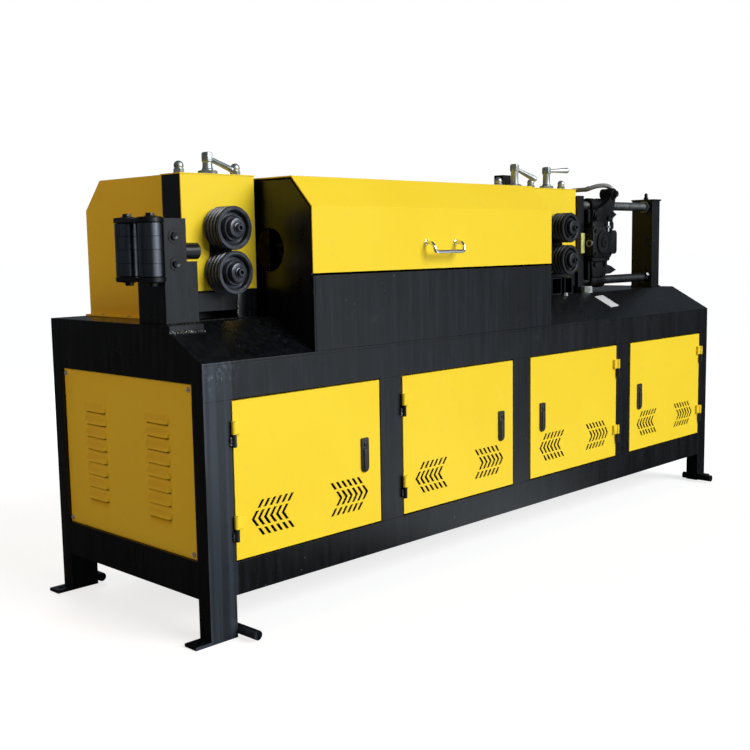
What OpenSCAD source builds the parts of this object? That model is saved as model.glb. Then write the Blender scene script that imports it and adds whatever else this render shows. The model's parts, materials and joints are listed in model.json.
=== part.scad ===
// Bar straightening and cutting machine: a cabinet with a sloping deck edge, an infeed guide,
// roller drives at both ends of a hinged straightening hood, and a sliding cutter on guide rods.
// X runs with the bar from the infeed end, Y from front to back, Z up from the floor.

/* [Cabinet] */
// Length of the cabinet along the bar's travel
cabinet_l = 2400; // [2300:10:3000]
// Depth of the cabinet from front to back
cabinet_d = 670; // [620:5:800]
// Height of the flat deck above the floor
deck_h = 748; // [700:1:850]
// Thickness of the deck plate
deck_t = 6; // [4:0.5:10]
// Drop of the sloping front edge of the deck
bevel_drop = 82; // [60:1:100]
// Depth of the sloping front edge of the deck
bevel_d = 150; // [125:1:160]
// Height of the door openings' lower edge
door_bottom_h = 184; // [160:1:210]
// Height of the front rail between the doors and the deck's edge
top_rail_h = 90; // [76:1:146]
// Height of the bottom rails' lower edge
rail_bottom_h = 103; // [60:1:130]
// Width of the corner legs at the infeed end
infeed_leg_w = 79; // [60:1:100]
// Width of the corner legs at the outfeed end
outfeed_leg_w = 58; // [45:1:100]
// Depth of the legs, rails and door posts
frame_d = 45; // [35:1:60]
// Width of the posts between doors
post_w = 84; // [60:1:100]
// Thickness of the plates that close the ends under the deck
end_plate_t = 6; // [4:0.5:10]
// Thickness of sheet panels
sheet_t = 2; // [1.5:0.25:3]
// Lower edge of the louvred end panels
panel_bottom_h = 194; // [190:1:230]
// Drop from the deck to the louvred end panels' upper edge
end_plate_h = 132; // [118:1:188]
// Distance of the panels behind the frame's outer faces
panel_inset = 6; // [3:0.5:12]
// Room beside a fixed panel
panel_gap = 2; // [1:0.5:4]

/* [Louvres] */
// Rows of louvres in each column
louvre_rows = 8; // [4:1:10]
// Length of a louvre
louvre_l = 66; // [50:1:90]
// Height of a louvre
louvre_h = 15; // [10:1:20]
// Depth that a louvre stands out
louvre_d = 8; // [4:0.5:10]
// Step between louvre rows
louvre_pitch = 32; // [26:1:40]
// Distance of each louvre column from the panel's middle
louvre_column_off = 150; // [110:1:180]

/* [Feet] */
// Thickness of the foot plates
foot_t = 8; // [5:1:12]
// Reach of a foot plate beyond its leg
foot_reach = 45; // [38:1:70]
// Radius of the anchor hole in a foot plate
foot_hole_r = 7; // [5:0.5:9]
// Radius of the lifting bars
lift_bar_r = 12; // [9:0.5:14]
// Length of a lifting bar
lift_bar_l = 115; // [90:1:150]
// Reach of a lifting bar beyond the frame
lift_bar_reach = 64; // [40:1:90]
// Height of a lifting bar's axis
lift_bar_h = 17; // [16:1:40]

/* [Doors] */
// Gap around each door
door_gap = 4; // [3:0.5:6]
// Depth of the folded door edges
door_fold_d = 18; // [12:1:25]
// Width of one vent slot
slot_w = 9; // [6:0.5:11]
// Step between vent slots
slot_pitch = 19; // [17:0.5:22]
// Number of chevrons in each vent
slot_count = 6; // [3:1:7]
// Distance from the door's edge to the first chevron's tip
vent_off = 52; // [40:1:70]
// Height of the vents' middle line above the door opening's lower edge
vent_rise = 94; // [70:1:150]
// Half height of a chevron vent
vent_half_h = 44; // [34:1:55]
// Run of a chevron arm sideways
vent_run = 33; // [24:1:40]
// Height of the plain bridge between slots in a chevron
vent_bridge = 6; // [4:0.5:8]
// Width of a door latch
latch_w = 26; // [20:1:34]
// Height of a door latch
latch_h = 92; // [70:1:110]
// Depth of a door latch
latch_d = 12; // [8:1:18]
// Distance from the opening's free edge to the latch's middle
latch_off = 64; // [50:1:90]
// Height of the latch's middle above the door opening's lower edge
latch_rise = 194; // [150:1:240]
// Radius of a door hinge barrel
hinge_r = 6; // [5:0.25:8]
// Radius of a door hinge pin
hinge_pin_r = 3; // [2:0.25:4]
// Length of each half of a door hinge
hinge_half_l = 31; // [24:1:40]
// Length of a door hinge leaf
hinge_leaf_l = 20; // [14:1:30]
// Distance from the opening's upper and lower edges to a hinge's middle
hinge_off = 82; // [60:1:110]

/* [Hood] */
// Room between the infeed drive and the hood
hood_gap = 17; // [10:1:30]
// Distance of the hood's back from the cabinet's back
hood_back_gap = 15; // [5:1:30]
// Height of the hood's lower edge above the deck
hood_seam_rise = 114; // [90:1:130]
// Height of the hood's front fold above the deck
hood_fold_rise = 280; // [250:1:300]
// Height of the hood's top above the deck
hood_top_rise = 358; // [330:1:380]
// Depth of the hood's sloping folds
hood_chamfer_d = 75; // [50:1:100]
// Thickness of the hood's sheet
hood_t = 3; // [2:0.25:4]
// Clear space inside the hood's sheet and under its edge
hood_clear = 5; // [5:0.5:8]
// Width of the fixed strip on top behind the hood's hinge
hinge_strip_w = 40; // [34:1:60]
// Radius of the hood's hinge barrels
hood_hinge_r = 6; // [5:0.25:8]
// Radius of the hood's hinge pins
hood_pin_r = 3; // [2:0.25:4]
// Length of the moving barrel of a hood hinge
hood_barrel_l = 36; // [24:1:50]
// Length of each fixed barrel of a hood hinge
hood_side_barrel_l = 18; // [12:1:26]
// Length of the hood's hinge leaves
hood_leaf_l = 30; // [24:1:32]
// Width of the hood's handle
handle_w = 135; // [110:1:160]
// Forward reach of the handle
handle_reach = 32; // [26:1:45]
// Drop of the handle's grip below its ends
handle_drop = 26; // [15:1:32]
// Height of the handle's ends above the hood's lower edge
handle_rise = 72; // [45:1:110]
// Radius of the handle's rod
handle_r = 5; // [4:0.5:7]
// Place of the handle's middle along the hood
handle_share = 0.478; // [0.3:0.001:0.7]
// Thickness of the hood's end plates
hood_end_t = 6; // [4:0.5:10]
// Thickness of the base walls under the hood
base_t = 5; // [4:0.5:8]
// Radius of the bar opening in the end plates
end_hole_r = 56; // [40:1:64]

/* [Bar line] */
// Height of the bar line above the deck
bar_rise = 174; // [165:1:180]
// Distance of the bar line behind the cabinet's front
bar_y = 166; // [160:1:172]

/* [Straightening drum] */
// Radius of the drum's body
drum_r = 58; // [46:1:64]
// Radius of the drum's shaft
drum_shaft_r = 24; // [20:1:30]
// Radius of the bar hole through the drum
drum_bore_r = 12; // [9:0.5:14]
// Length of each bearing block
bearing_l = 60; // [40:1:80]
// Half width of a bearing block
bearing_half_w = 54; // [40:1:60]
// Distance of a bearing block from its end plate
bearing_off = 40; // [20:1:70]
// Room between a bearing block and the drum's body
drum_side_gap = 25; // [12:1:40]
// Length of one die window, as a share of its step along the drum
window_share = 0.53; // [0.4:0.01:0.7]
// Height of one die window in the drum
window_h = 36; // [28:1:44]
// Number of die windows in the drum
window_count = 5; // [3:1:6]

/* [Drives] */
// Distance of the infeed drive from the cabinet's end
infeed_x = 103; // [95:1:130]
// Width of the infeed drive
infeed_w = 230; // [220:1:260]
// Room between the hood and the outfeed drive
outfeed_gap = 11; // [8:1:25]
// Width of the outfeed drive
outfeed_w = 420; // [400:1:450]
// Distance between the two outfeed roller pairs
outfeed_pair_step = 183; // [170:1:195]
// Distance of the drives' faces behind the cabinet's front
face_y = 200; // [194:1:215]
// Thickness of the painted face plates
face_t = 4; // [3:0.5:6]
// Depth of a drive's gearbox behind its face plate
gearbox_d = 76; // [60:1:100]
// Height of a drive's top above the deck
drive_top_rise = 364; // [345:1:380]
// Height of a face plate's lower edge above the deck
face_rise = 75; // [60:1:80]
// Width of a gearbox stand's legs
stand_leg_w = 24; // [16:1:40]
// Height of the stand's beam
beam_h = 50; // [35:1:55]
// Room between the stand's beam and the face plate
beam_gap = 3; // [2:0.5:6]
// Depth of the stand's beam
beam_d = 30; // [20:1:45]
// Width that a housing's flange stands out
flange_w = 10; // [6:1:14]
// Thickness of a housing's flange
flange_t = 5; // [3:0.5:8]
// Width of the hydraulic block on the outfeed drive
hydraulic_w = 44; // [30:1:60]
// Depth of the hydraulic block
hydraulic_d = 40; // [26:1:60]
// Height of the hydraulic block
hydraulic_h = 48; // [30:1:60]
// Room between the gearbox and the hydraulic block
hydraulic_gap = 36; // [36:1:60]
// Distance of the hydraulic block past the first outfeed roller
hydraulic_x_off = 34; // [0:1:40]

/* [Feed rollers] */
// Radius of a feed roller
roller_r = 52; // [46:0.5:52]
// Width of a feed roller
roller_w = 56; // [45:1:62]
// Distance between an upper and a lower roller's axes
roller_step = 110; // [110:0.5:116]
// Room between a roller and its face plate
roller_gap = 6; // [5:0.5:9]
// Number of bar grooves in a roller
groove_count = 3; // [2:1:4]
// Depth of a bar groove
groove_d = 5; // [3:0.5:7]
// Width of a bar groove
groove_w = 10; // [6:0.5:12]
// Radius of a roller's shaft
roller_shaft_r = 16; // [12:0.5:20]
// Depth of a roller's shaft inside its gearbox
shaft_seat_d = 50; // [35:1:58]
// Inner radius of a roller's front rim
rim_r = 41; // [36:0.5:44]
// Depth of the recess inside a roller's rim
recess_d = 9; // [5:0.5:12]
// Radius of a roller's hub
hub_r = 23; // [19:0.5:28]
// Height of the hub over the recess
hub_h = 11; // [6:0.5:14]
// Half width across the corners of a roller's bolt
hub_bolt_r = 10; // [8:0.5:13]
// Height of a roller's bolt head
hub_bolt_h = 7; // [5:0.5:10]

/* [Clamp cranks] */
// Radius of a crank's post
crank_post_r = 11; // [9:0.5:13]
// Height of a crank's ball above the drive's top at the infeed end
infeed_crank_h = 43; // [43:1:60]
// Height of a crank's ball above the drive's top at the outfeed end
outfeed_crank_h = 58; // [46:1:70]
// Radius of a crank's ball
crank_ball_r = 15; // [13:0.5:18]
// Length of a crank's lever from the post's axis
crank_reach = 66; // [52:1:67]
// Radius of a crank's lever
lever_r = 5; // [4:0.5:6]
// Heading of the first two cranks' levers
crank_turn = -40; // [-60:1:0]
// Slope of the infeed crank's lever below level
infeed_dip = 30; // [0:1:30]
// Slope of the first outfeed crank's lever below level
outfeed_dip = 20; // [0:1:30]
// Heading of the last crank's lever
last_turn = -5; // [-60:1:20]
// Slope of the last crank's lever below level
last_dip = 4; // [0:1:30]
// Depth of a crank's post inside the gearbox
crank_seat_d = 30; // [20:1:40]
// Half width across the corners of the nut under a crank
crank_nut_r = 25; // [20:0.5:28]
// Height of the nut under a crank
crank_nut_h = 11; // [8:1:14]
// Distance of a cap nut from its crank
cap_nut_off = 88; // [86:1:91]
// Half width across the corners of a cap nut
cap_nut_r = 13; // [10:0.5:13]
// Height of a cap nut's hexagon
cap_nut_h = 20; // [12:1:24]
// Radius of a cap nut's dome
cap_dome_r = 11; // [8:0.5:12]

/* [Infeed guide] */
// Distance of the bracket's side plate from the cabinet's end
bracket_x = 4; // [0:1:10]
// Thickness of the bracket's plates
bracket_t = 8; // [6:0.5:10]
// Distance of the bracket's front face behind the cabinet's front
bracket_y = 137; // [130:1:139]
// Depth of the bracket's side plate
bracket_d = 114; // [100:1:130]
// Height of the bracket above the deck
bracket_rise = 252; // [242:1:270]
// Width of the bracket's front plate at its top
bracket_top_w = 65; // [50:1:80]
// Width of the bracket's front plate at its foot
bracket_foot_w = 95; // [80:1:98]
// Height of the wide foot of the front plate above the deck
bracket_step_rise = 150; // [120:1:150]
// Outer radius of the inlet tube
inlet_r = 20; // [17:0.5:20.5]
// Radius of the bar hole through the inlet tube
inlet_bore_r = 13; // [10:0.5:14]
// Length of the inlet tube
inlet_l = 92; // [75:1:93]
// Radius of a guide roller
guide_roller_r = 30; // [24:0.5:32]
// Length of a guide roller
guide_roller_l = 135; // [110:1:140]
// Distance between the guide rollers' axes
guide_roller_step = 95; // [92:1:104]
// Radius of a guide roller's axle
guide_axle_r = 10; // [8:0.5:12]
// Distance of the guide rollers' axes from the bracket's side plate
guide_roller_off = 47; // [44:1:60]
// Thickness of the guide frame's bars
guide_bar_t = 8; // [6:0.5:10]
// Width of the guide frame's bars beyond the axles
guide_bar_edge = 33; // [22:1:36]

/* [Cutter] */
// Room between the outfeed drive and the rod plate
rod_plate_gap = 3; // [1:0.5:6]
// Thickness of the rod plate
rod_plate_t = 34; // [25:1:40]
// Distance of the rod plate behind the cabinet's front
rod_plate_y = 190; // [184:1:194]
// Depth of the rod plate
rod_plate_d = 110; // [70:1:140]
// Height of the rod plate above the deck
rod_plate_rise = 342; // [338:1:370]
// Length of the guide rods
rod_l = 487; // [440:1:600]
// Radius of a guide rod
rod_r = 16; // [12:0.5:18]
// Distance of the guide rods behind the cabinet's front
rod_y = 214; // [212:1:220]
// Height of the upper guide rod above the bar line
rod_offset = 135; // [128:1:140]
// Room between the rod plate and the cutter head
cutter_gap = 8; // [6:1:14]
// Length of the cutter head's body
cutter_l = 120; // [100:1:140]
// Distance of the cutter head's face behind the cabinet's front
cutter_y = 150; // [140:1:152]
// Depth of the cutter head's body
cutter_d = 100; // [92:1:120]
// Height of the cutter head's body
cutter_h = 94; // [80:1:110]
// Length of the cutter head's rod clamps
clamp_l = 84; // [60:1:100]
// Wall of a rod clamp around its rod
clamp_wall = 11; // [8:0.5:14]
// Length of the flange block on the cutter head's outfeed side
cutter_flange_l = 34; // [24:1:44]
// Height of the flange block
cutter_flange_h = 66; // [50:1:78]
// Radius of the round cutter cover
cover_r = 42; // [34:1:46]
// Thickness of the round cutter cover
cover_t = 9; // [6:0.5:12]
// Radius of the bar hole through the cutter head
cutter_bore_r = 8; // [6:0.5:9]
// Radius of the hose knuckle on top of the cutter head
knuckle_r = 19; // [16:0.5:22]
// Length of the hose knuckle
knuckle_l = 56; // [40:1:64]
// Height of the knuckle's axis above the upper guide rod
knuckle_rise = 61; // [56:1:70]
// Half width across the corners of a hose fitting's hexagon
fitting_r = 14; // [12:0.5:16]
// Length of a hose fitting's hexagon
fitting_l = 18; // [12:1:24]
// Radius of the hose
hose_r = 8; // [6:0.5:9]
// Distance that the hose runs back from the cutter head
hose_run = 240; // [220:1:260]
// Distance that the hose runs towards the infeed end
hose_side = 36; // [20:1:50]
// Height of the hose's lower end above the deck
hose_stub_h = 36; // [28:1:50]
// Distance of the end post from the cabinet's outfeed end
end_post_setback = 58; // [40:1:80]
// Width of the end post's flanges
end_post_w = 55; // [45:1:70]
// Depth of the end post's web
end_post_d = 90; // [80:1:110]
// Distance of the end post behind the cabinet's front
end_post_y = 178; // [176:1:184]
// Thickness of the end post's walls
end_post_t = 7; // [5:0.5:9]
// Height of the end post above the deck
end_post_rise = 338; // [338:1:370]
// Thickness of the end post's cap and base plates
end_post_cap_t = 6; // [4:0.5:10]
// Width that the cap and base plates stand out
end_post_lip = 4; // [2:0.5:8]

/* [Hidden] */
$fn = 48;
hex_sides = 6;
hose_sides = 10;
// Overrun of every cut past its solid
cut = 1;
// Radial clearance of a pin or shaft that turns in its bore
running_fit = 0.05;
// End play of a turning piece beside a fixed one
end_play = 1;
// Depth that a weld joins two round pieces
weld = 2;
// Gap between the hood's sheet and the fixed strip behind its hinge
hood_joint = 6;
hood_leaf_t = 2.5;
// Extra radius of the handle's rounded corners
handle_bulge = 0.5;
door_hinge_y = -hinge_r - end_play;
hinge_leaf_t = hinge_r + weld;
lid_hinge_shares = [0.12, 0.5, 0.88];
knuckle_x_share = 0.95;
post_bolt_r = 9;
post_bolt_h = 8;

door_w = (cabinet_l - infeed_leg_w - outfeed_leg_w - 3 * post_w) / 4;
front_edge_h = deck_h - bevel_drop;
door_top_h = front_edge_h - top_rail_h;
door_h = door_top_h - door_bottom_h;
panel_top_h = deck_h - end_plate_h;
deck_drop = deck_t * norm([bevel_d, bevel_drop]) / bevel_d;
bend_y = bevel_d * (1 + (deck_drop - deck_t) / bevel_drop);
bar_h = deck_h + bar_rise;
end_post_x = cabinet_l - end_post_setback - end_post_w;
rod_plate_x = end_post_x - rod_l;
outfeed_x = rod_plate_x - rod_plate_gap - outfeed_w;
hood_x = infeed_x + infeed_w + hood_gap;
hood_l = outfeed_x - outfeed_gap - hood_x;
hood_back = cabinet_d - hood_back_gap;
seam_h = deck_h + hood_seam_rise;
fold_h = deck_h + hood_fold_rise;
hood_top = deck_h + hood_top_rise;
base_top = seam_h - hood_clear;
hood_hinge_y = hood_back - hood_chamfer_d - hinge_strip_w;
hood_hinge_h = hood_top + hood_hinge_r;
infeed_mid = infeed_x + infeed_w / 2;
outfeed_mid = outfeed_x + outfeed_w / 2;
outfeed_rollers = [outfeed_mid - outfeed_pair_step / 2, outfeed_mid + outfeed_pair_step / 2];
gearbox_y = face_y + face_t;
gearbox_back = gearbox_y + gearbox_d;
drive_top = deck_h + drive_top_rise;
roller_back = face_y - roller_gap;
crank_y = gearbox_y + gearbox_d / 2;
rod_heights = [bar_h - rod_offset, bar_h + rod_offset];
cutter_x = rod_plate_x + rod_plate_t + cutter_gap;
clamp_x = cutter_x + (cutter_l - clamp_l) / 2;
knuckle_x = cutter_x + cutter_l * knuckle_x_share;
knuckle_h = rod_heights[1] + knuckle_rise;
guide_x = bracket_x - guide_roller_off;
guide_low = bar_h - guide_roller_l / 2;
guide_high = bar_h + guide_roller_l / 2;
hose_start = [knuckle_x, rod_y + knuckle_l / 2 + fitting_l, knuckle_h];
hose_end = [knuckle_x - hose_side, hose_start[1] + hose_run, deck_h + hose_stub_h];
// Shares of the hose's way across, back and down from the cutter head's fitting
hose_shares = [
    [0, 0, 0], [0, 0.1, 0], [0.03, 0.21, 0.003], [0.08, 0.32, 0.012], [0.17, 0.43, 0.03], [0.28, 0.54, 0.06],
    [0.42, 0.64, 0.102], [0.56, 0.735, 0.159], [0.7, 0.82, 0.231], [0.81, 0.885, 0.317], [0.89, 0.937, 0.413],
    [0.94, 0.97, 0.515], [0.97, 0.99, 0.62], [1, 1, 0.725], [1, 1, 0.83], [1, 1, 0.934], [1, 1, 1]];
hose_route = [for (share = hose_shares)
    [for (axis = [0 : 2]) hose_start[axis] + (hose_end[axis] - hose_start[axis]) * share[axis]]];

yellow = [0.95, 0.76, 0.12];
black = [0.1, 0.11, 0.12];
zinc = [0.78, 0.77, 0.73];
steel = [0.5, 0.5, 0.52];

// Height of the deck's upper surface at a distance behind the front
function deck_z(y) = y < bevel_d ? deck_h - bevel_drop * (1 - y / bevel_d) : deck_h;
// Height of the deck's underside at a distance behind the front
function under_z(y) = min(deck_h - deck_t, deck_z(y) - deck_drop);
// Infeed side of one door opening, counted from zero
function door_x(i) = infeed_leg_w + i * (door_w + post_w);
function unit(v) = v / norm(v);
function side_of(a, b) = let (d = unit(b - a)) [-d[1], d[0]];
// One corner of a bent line, moved sideways by a distance with mitred corners
function moved(pts, i, t) =
    i == 0 ? pts[0] + t * side_of(pts[0], pts[1]) :
    i == len(pts) - 1 ? pts[i] + t * side_of(pts[i - 1], pts[i]) :
    let (n = side_of(pts[i - 1], pts[i]), m = unit(n + side_of(pts[i], pts[i + 1])))
        pts[i] + m * t / (m * n);
function moved_line(pts, t) = [for (i = [0 : len(pts) - 1]) moved(pts, i, t)];
function reversed(list) = [for (i = [len(list) - 1 : -1 : 0]) list[i]];
// Outline of a sheet of a given thickness bent along a line, on the line's right side
function bent_sheet(pts, t) = concat(pts, reversed(moved_line(pts, -t)));

module in_frame() {
    translate([-cabinet_l / 2, -cabinet_d / 2, 0])
        children();
}

module block(x0, x1, y0, y1, z0, z1) {
    translate([x0, y0, z0])
        cube([x1 - x0, y1 - y0, z1 - z0]);
}

// A flat outline in depth and height, carried along X
module along_x(x0, l) {
    translate([x0, 0, 0])
        rotate([90, 0, 90])
            linear_extrude(l)
                children();
}

// A flat outline in length and height, carried along Y
module along_y(y0, l) {
    translate([0, y0 + l, 0])
        rotate([90, 0, 0])
            linear_extrude(l)
                children();
}

module rod_x(x0, x1, y, z, r) {
    translate([x0, y, z])
        rotate([0, 90, 0])
            cylinder(h = x1 - x0, r = r);
}

module rod_y(x, y0, y1, z, r) {
    translate([x, y1, z])
        rotate([90, 0, 0])
            cylinder(h = y1 - y0, r = r);
}

module rod_z(x, y, z0, z1, r) {
    translate([x, y, z0])
        cylinder(h = z1 - z0, r = r);
}

module front_and_rear() {
    children();
    translate([0, cabinet_d, 0])
        mirror([0, 1, 0])
            children();
}

module both_ends() {
    children();
    translate([cabinet_l, 0, 0])
        mirror([1, 0, 0])
            children();
}

// Cabinet

module leg(w) {
    difference() {
        union() {
            block(0, w, 0, frame_d, 0, door_top_h);
            block(-foot_reach, w, 0, frame_d, 0, foot_t);
            rod_y(w + lift_bar_r - weld, -lift_bar_reach, lift_bar_l - lift_bar_reach, lift_bar_h,
                lift_bar_r);
        }
        rod_z(-foot_reach / 2, frame_d / 2, -cut, foot_t + cut, foot_hole_r);
    }
}

module legs() {
    color(black)
        in_frame()
            front_and_rear() {
                leg(infeed_leg_w);
                translate([cabinet_l, 0, 0])
                    mirror([1, 0, 0])
                        leg(outfeed_leg_w);
            }
}

module bottom_rails() {
    color(black)
        in_frame() {
            front_and_rear()
                block(infeed_leg_w, cabinet_l - outfeed_leg_w, 0, frame_d, rail_bottom_h, door_bottom_h);
            both_ends()
                block(0, frame_d, frame_d, cabinet_d - frame_d, rail_bottom_h, panel_bottom_h);
        }
}

module top_rails() {
    color(black)
        in_frame() {
            along_x(0, cabinet_l)
                polygon([[0, door_top_h], [frame_d, door_top_h], [frame_d, under_z(frame_d)],
                    [0, under_z(0)]]);
            block(0, cabinet_l, cabinet_d - frame_d, cabinet_d, door_top_h, deck_h - deck_t);
        }
}

module door_posts() {
    color(black)
        in_frame()
            front_and_rear()
                for (i = [1 : 3])
                    block(door_x(i) - post_w, door_x(i), 0, frame_d, door_bottom_h, door_top_h);
}

module deck_plate() {
    color(black)
        in_frame()
            along_x(0, cabinet_l)
                polygon([[0, front_edge_h], [bevel_d, deck_h], [cabinet_d, deck_h],
                    [cabinet_d, deck_h - deck_t], [bend_y, deck_h - deck_t], [0, front_edge_h - deck_drop]]);
}

module end_plates() {
    back = cabinet_d - frame_d;
    color(black)
        in_frame()
            both_ends()
                along_x(0, end_plate_t)
                    polygon([[frame_d, panel_top_h], [back, panel_top_h], [back, deck_h - deck_t],
                        [bend_y, deck_h - deck_t], [frame_d, under_z(frame_d)]]);
}

module floor_pan() {
    color(black)
        in_frame()
            block(frame_d, cabinet_l - frame_d, frame_d, cabinet_d - frame_d, rail_bottom_h,
                rail_bottom_h + sheet_t);
}

module louvre(y, z) {
    along_y(y - louvre_l / 2, louvre_l)
        polygon([[panel_inset + sheet_t / 2, z], [panel_inset - louvre_d, z], [panel_inset, z + louvre_h],
            [panel_inset + sheet_t / 2, z + louvre_h]]);
}

module end_panels() {
    mid_z = (panel_bottom_h + panel_top_h) / 2;
    low_z = mid_z - ((louvre_rows - 1) * louvre_pitch + louvre_h) / 2;
    color(yellow)
        in_frame()
            both_ends() {
                block(panel_inset, panel_inset + sheet_t, frame_d + panel_gap,
                    cabinet_d - frame_d - panel_gap, panel_bottom_h, panel_top_h);
                for (side = [-1, 1], row = [0 : louvre_rows - 1])
                    louvre(cabinet_d / 2 + side * louvre_column_off, low_z + row * louvre_pitch);
            }
}

module rear_panels() {
    color(yellow)
        in_frame()
            for (i = [0 : 3])
                block(door_x(i) + panel_gap, door_x(i) + door_w - panel_gap,
                    cabinet_d - panel_inset - sheet_t, cabinet_d - panel_inset, door_bottom_h, door_top_h);
}

// Doors: drawn hinged on the infeed side, and turned about for the outfeed half

module at_door(i) {
    in_frame()
        translate([door_x(i) + (i < 2 ? 0 : door_w), 0, door_bottom_h])
            mirror([i < 2 ? 0 : 1, 0, 0])
                children();
}

// Sideways place of a chevron's edge at a height from its middle line
function arm_x(h) = vent_run * abs(h) / vent_half_h;

module chevron_slots() {
    inner_h = vent_half_h / 2 - vent_bridge / 2;
    outer_h = vent_half_h / 2 + vent_bridge / 2;
    polygon([[0, 0], [arm_x(inner_h), inner_h], [arm_x(inner_h) + slot_w, inner_h], [slot_w, 0],
        [arm_x(inner_h) + slot_w, -inner_h], [arm_x(inner_h), -inner_h]]);
    for (s = [-1, 1])
        polygon([[arm_x(outer_h), s * outer_h], [arm_x(outer_h) + slot_w, s * outer_h],
            [vent_run + slot_w, s * vent_half_h], [vent_run, s * vent_half_h]]);
}

module vent() {
    for (i = [0 : slot_count - 1])
        translate([vent_off + i * slot_pitch, vent_rise])
            chevron_slots();
}

hinge_mids = [hinge_off, door_h - hinge_off];

module door_leaf() {
    difference() {
        union() {
            difference() {
                block(door_gap, door_w - door_gap, 0, door_fold_d, door_gap, door_h - door_gap);
                block(door_gap + sheet_t, door_w - door_gap - sheet_t, sheet_t, door_fold_d + cut,
                    door_gap + sheet_t, door_h - door_gap - sheet_t);
                along_y(-cut, sheet_t + 2 * cut)
                    vent();
                along_y(-cut, sheet_t + 2 * cut)
                    translate([door_w, 0])
                        mirror([1, 0])
                            vent();
            }
            for (z = hinge_mids) {
                rod_z(door_gap / 2, door_hinge_y, z, z + hinge_half_l, hinge_r);
                block(door_gap / 2, door_gap + hinge_leaf_l, -hinge_leaf_t, sheet_t / 2, z, z + hinge_half_l);
            }
        }
        for (z = hinge_mids)
            rod_z(door_gap / 2, door_hinge_y, z - cut, z + hinge_half_l + cut, hinge_pin_r + running_fit);
    }
}

module door(i) {
    color(yellow)
        at_door(i)
            door_leaf();
}

module door_1() { door(0); }
module door_2() { door(1); }
module door_3() { door(2); }
module door_4() { door(3); }

module latch(i) {
    color(black)
        at_door(i)
            along_y(-latch_d, latch_d)
                translate([door_w - latch_off, latch_rise]) {
                    translate([-latch_w / 2, -latch_h / 2 + latch_w / 2])
                        square([latch_w, latch_h - latch_w / 2]);
                    translate([0, -latch_h / 2 + latch_w / 2])
                        circle(latch_w / 2);
                }
}

module door_latch_1() { latch(0); }
module door_latch_2() { latch(1); }
module door_latch_3() { latch(2); }
module door_latch_4() { latch(3); }

module door_hinges() {
    color(black)
        for (i = [0 : 3])
            at_door(i)
                for (z = hinge_mids) {
                    rod_z(door_gap / 2, door_hinge_y, z - hinge_half_l, z - end_play, hinge_r);
                    rod_z(door_gap / 2, door_hinge_y, z - hinge_half_l, z + hinge_half_l, hinge_pin_r);
                    block(-hinge_leaf_l, door_gap / 2, -hinge_leaf_t, 0, z - hinge_half_l, z - end_play);
                }
}

// Straightening hood

hood_line = [[0, seam_h], [0, fold_h], [hood_chamfer_d, hood_top], [hood_back - hood_chamfer_d, hood_top],
    [hood_back, fold_h], [hood_back, seam_h]];

module hood_end_plates() {
    inside = moved_line(hood_line, -hood_t - hood_clear);
    step = hood_t + hood_clear;
    outline = concat([[0, front_edge_h], [bevel_d, deck_h], [hood_back, deck_h], [hood_back, base_top],
        [hood_back - step, base_top]], [for (i = [4 : -1 : 1]) inside[i]], [[step, base_top], [0, base_top]]);
    color(black)
        in_frame()
            for (x = [hood_x, hood_x + hood_l - hood_end_t])
                difference() {
                    along_x(x, hood_end_t)
                        polygon(outline);
                    rod_x(x - cut, x + hood_end_t + cut, bar_y, bar_h, end_hole_r);
                }
}

module hood_base() {
    x0 = hood_x + hood_end_t;
    l = hood_l - 2 * hood_end_t;
    color(black)
        in_frame() {
            along_x(x0, l)
                polygon([[0, front_edge_h], [base_t, deck_z(base_t)], [base_t, base_top], [0, base_top]]);
            block(x0, x0 + l, hood_back - base_t, hood_back, deck_h, base_top);
        }
}

module hood_rear_cover() {
    color(yellow)
        in_frame()
            along_x(hood_x, hood_l)
                polygon(bent_sheet([[hood_hinge_y + hood_joint / 2, hood_top],
                    [hood_back - hood_chamfer_d, hood_top], [hood_back, fold_h], [hood_back, base_top]],
                    hood_t));
}

module hood_cover() {
    color(yellow)
        in_frame()
            difference() {
                union() {
                    along_x(hood_x, hood_l)
                        polygon(bent_sheet([hood_line[0], hood_line[1], hood_line[2],
                            [hood_hinge_y - hood_joint / 2, hood_top]], hood_t));
                    for (share = lid_hinge_shares) {
                        x = hood_x + hood_l * share;
                        rod_x(x - hood_barrel_l / 2, x + hood_barrel_l / 2, hood_hinge_y, hood_hinge_h,
                            hood_hinge_r);
                        block(x - hood_barrel_l / 2, x + hood_barrel_l / 2, hood_hinge_y - hood_leaf_l,
                            hood_hinge_y, hood_top - hood_t / 2, hood_top + hood_leaf_t);
                    }
                }
                for (share = lid_hinge_shares) {
                    x = hood_x + hood_l * share;
                    rod_x(x - hood_barrel_l, x + hood_barrel_l, hood_hinge_y, hood_hinge_h,
                        hood_pin_r + running_fit);
                }
            }
}

module hood_hinges() {
    inner = hood_barrel_l / 2 + end_play;
    outer = inner + hood_side_barrel_l;
    color(zinc)
        in_frame()
            for (share = lid_hinge_shares) {
                x = hood_x + hood_l * share;
                rod_x(x - outer, x + outer, hood_hinge_y, hood_hinge_h, hood_pin_r);
                for (x0 = [x - outer, x + inner]) {
                    rod_x(x0, x0 + hood_side_barrel_l, hood_hinge_y, hood_hinge_h, hood_hinge_r);
                    block(x0, x0 + hood_side_barrel_l, hood_hinge_y, hood_hinge_y + hood_leaf_l, hood_top,
                        hood_top + hood_leaf_t);
                }
            }
}

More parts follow.
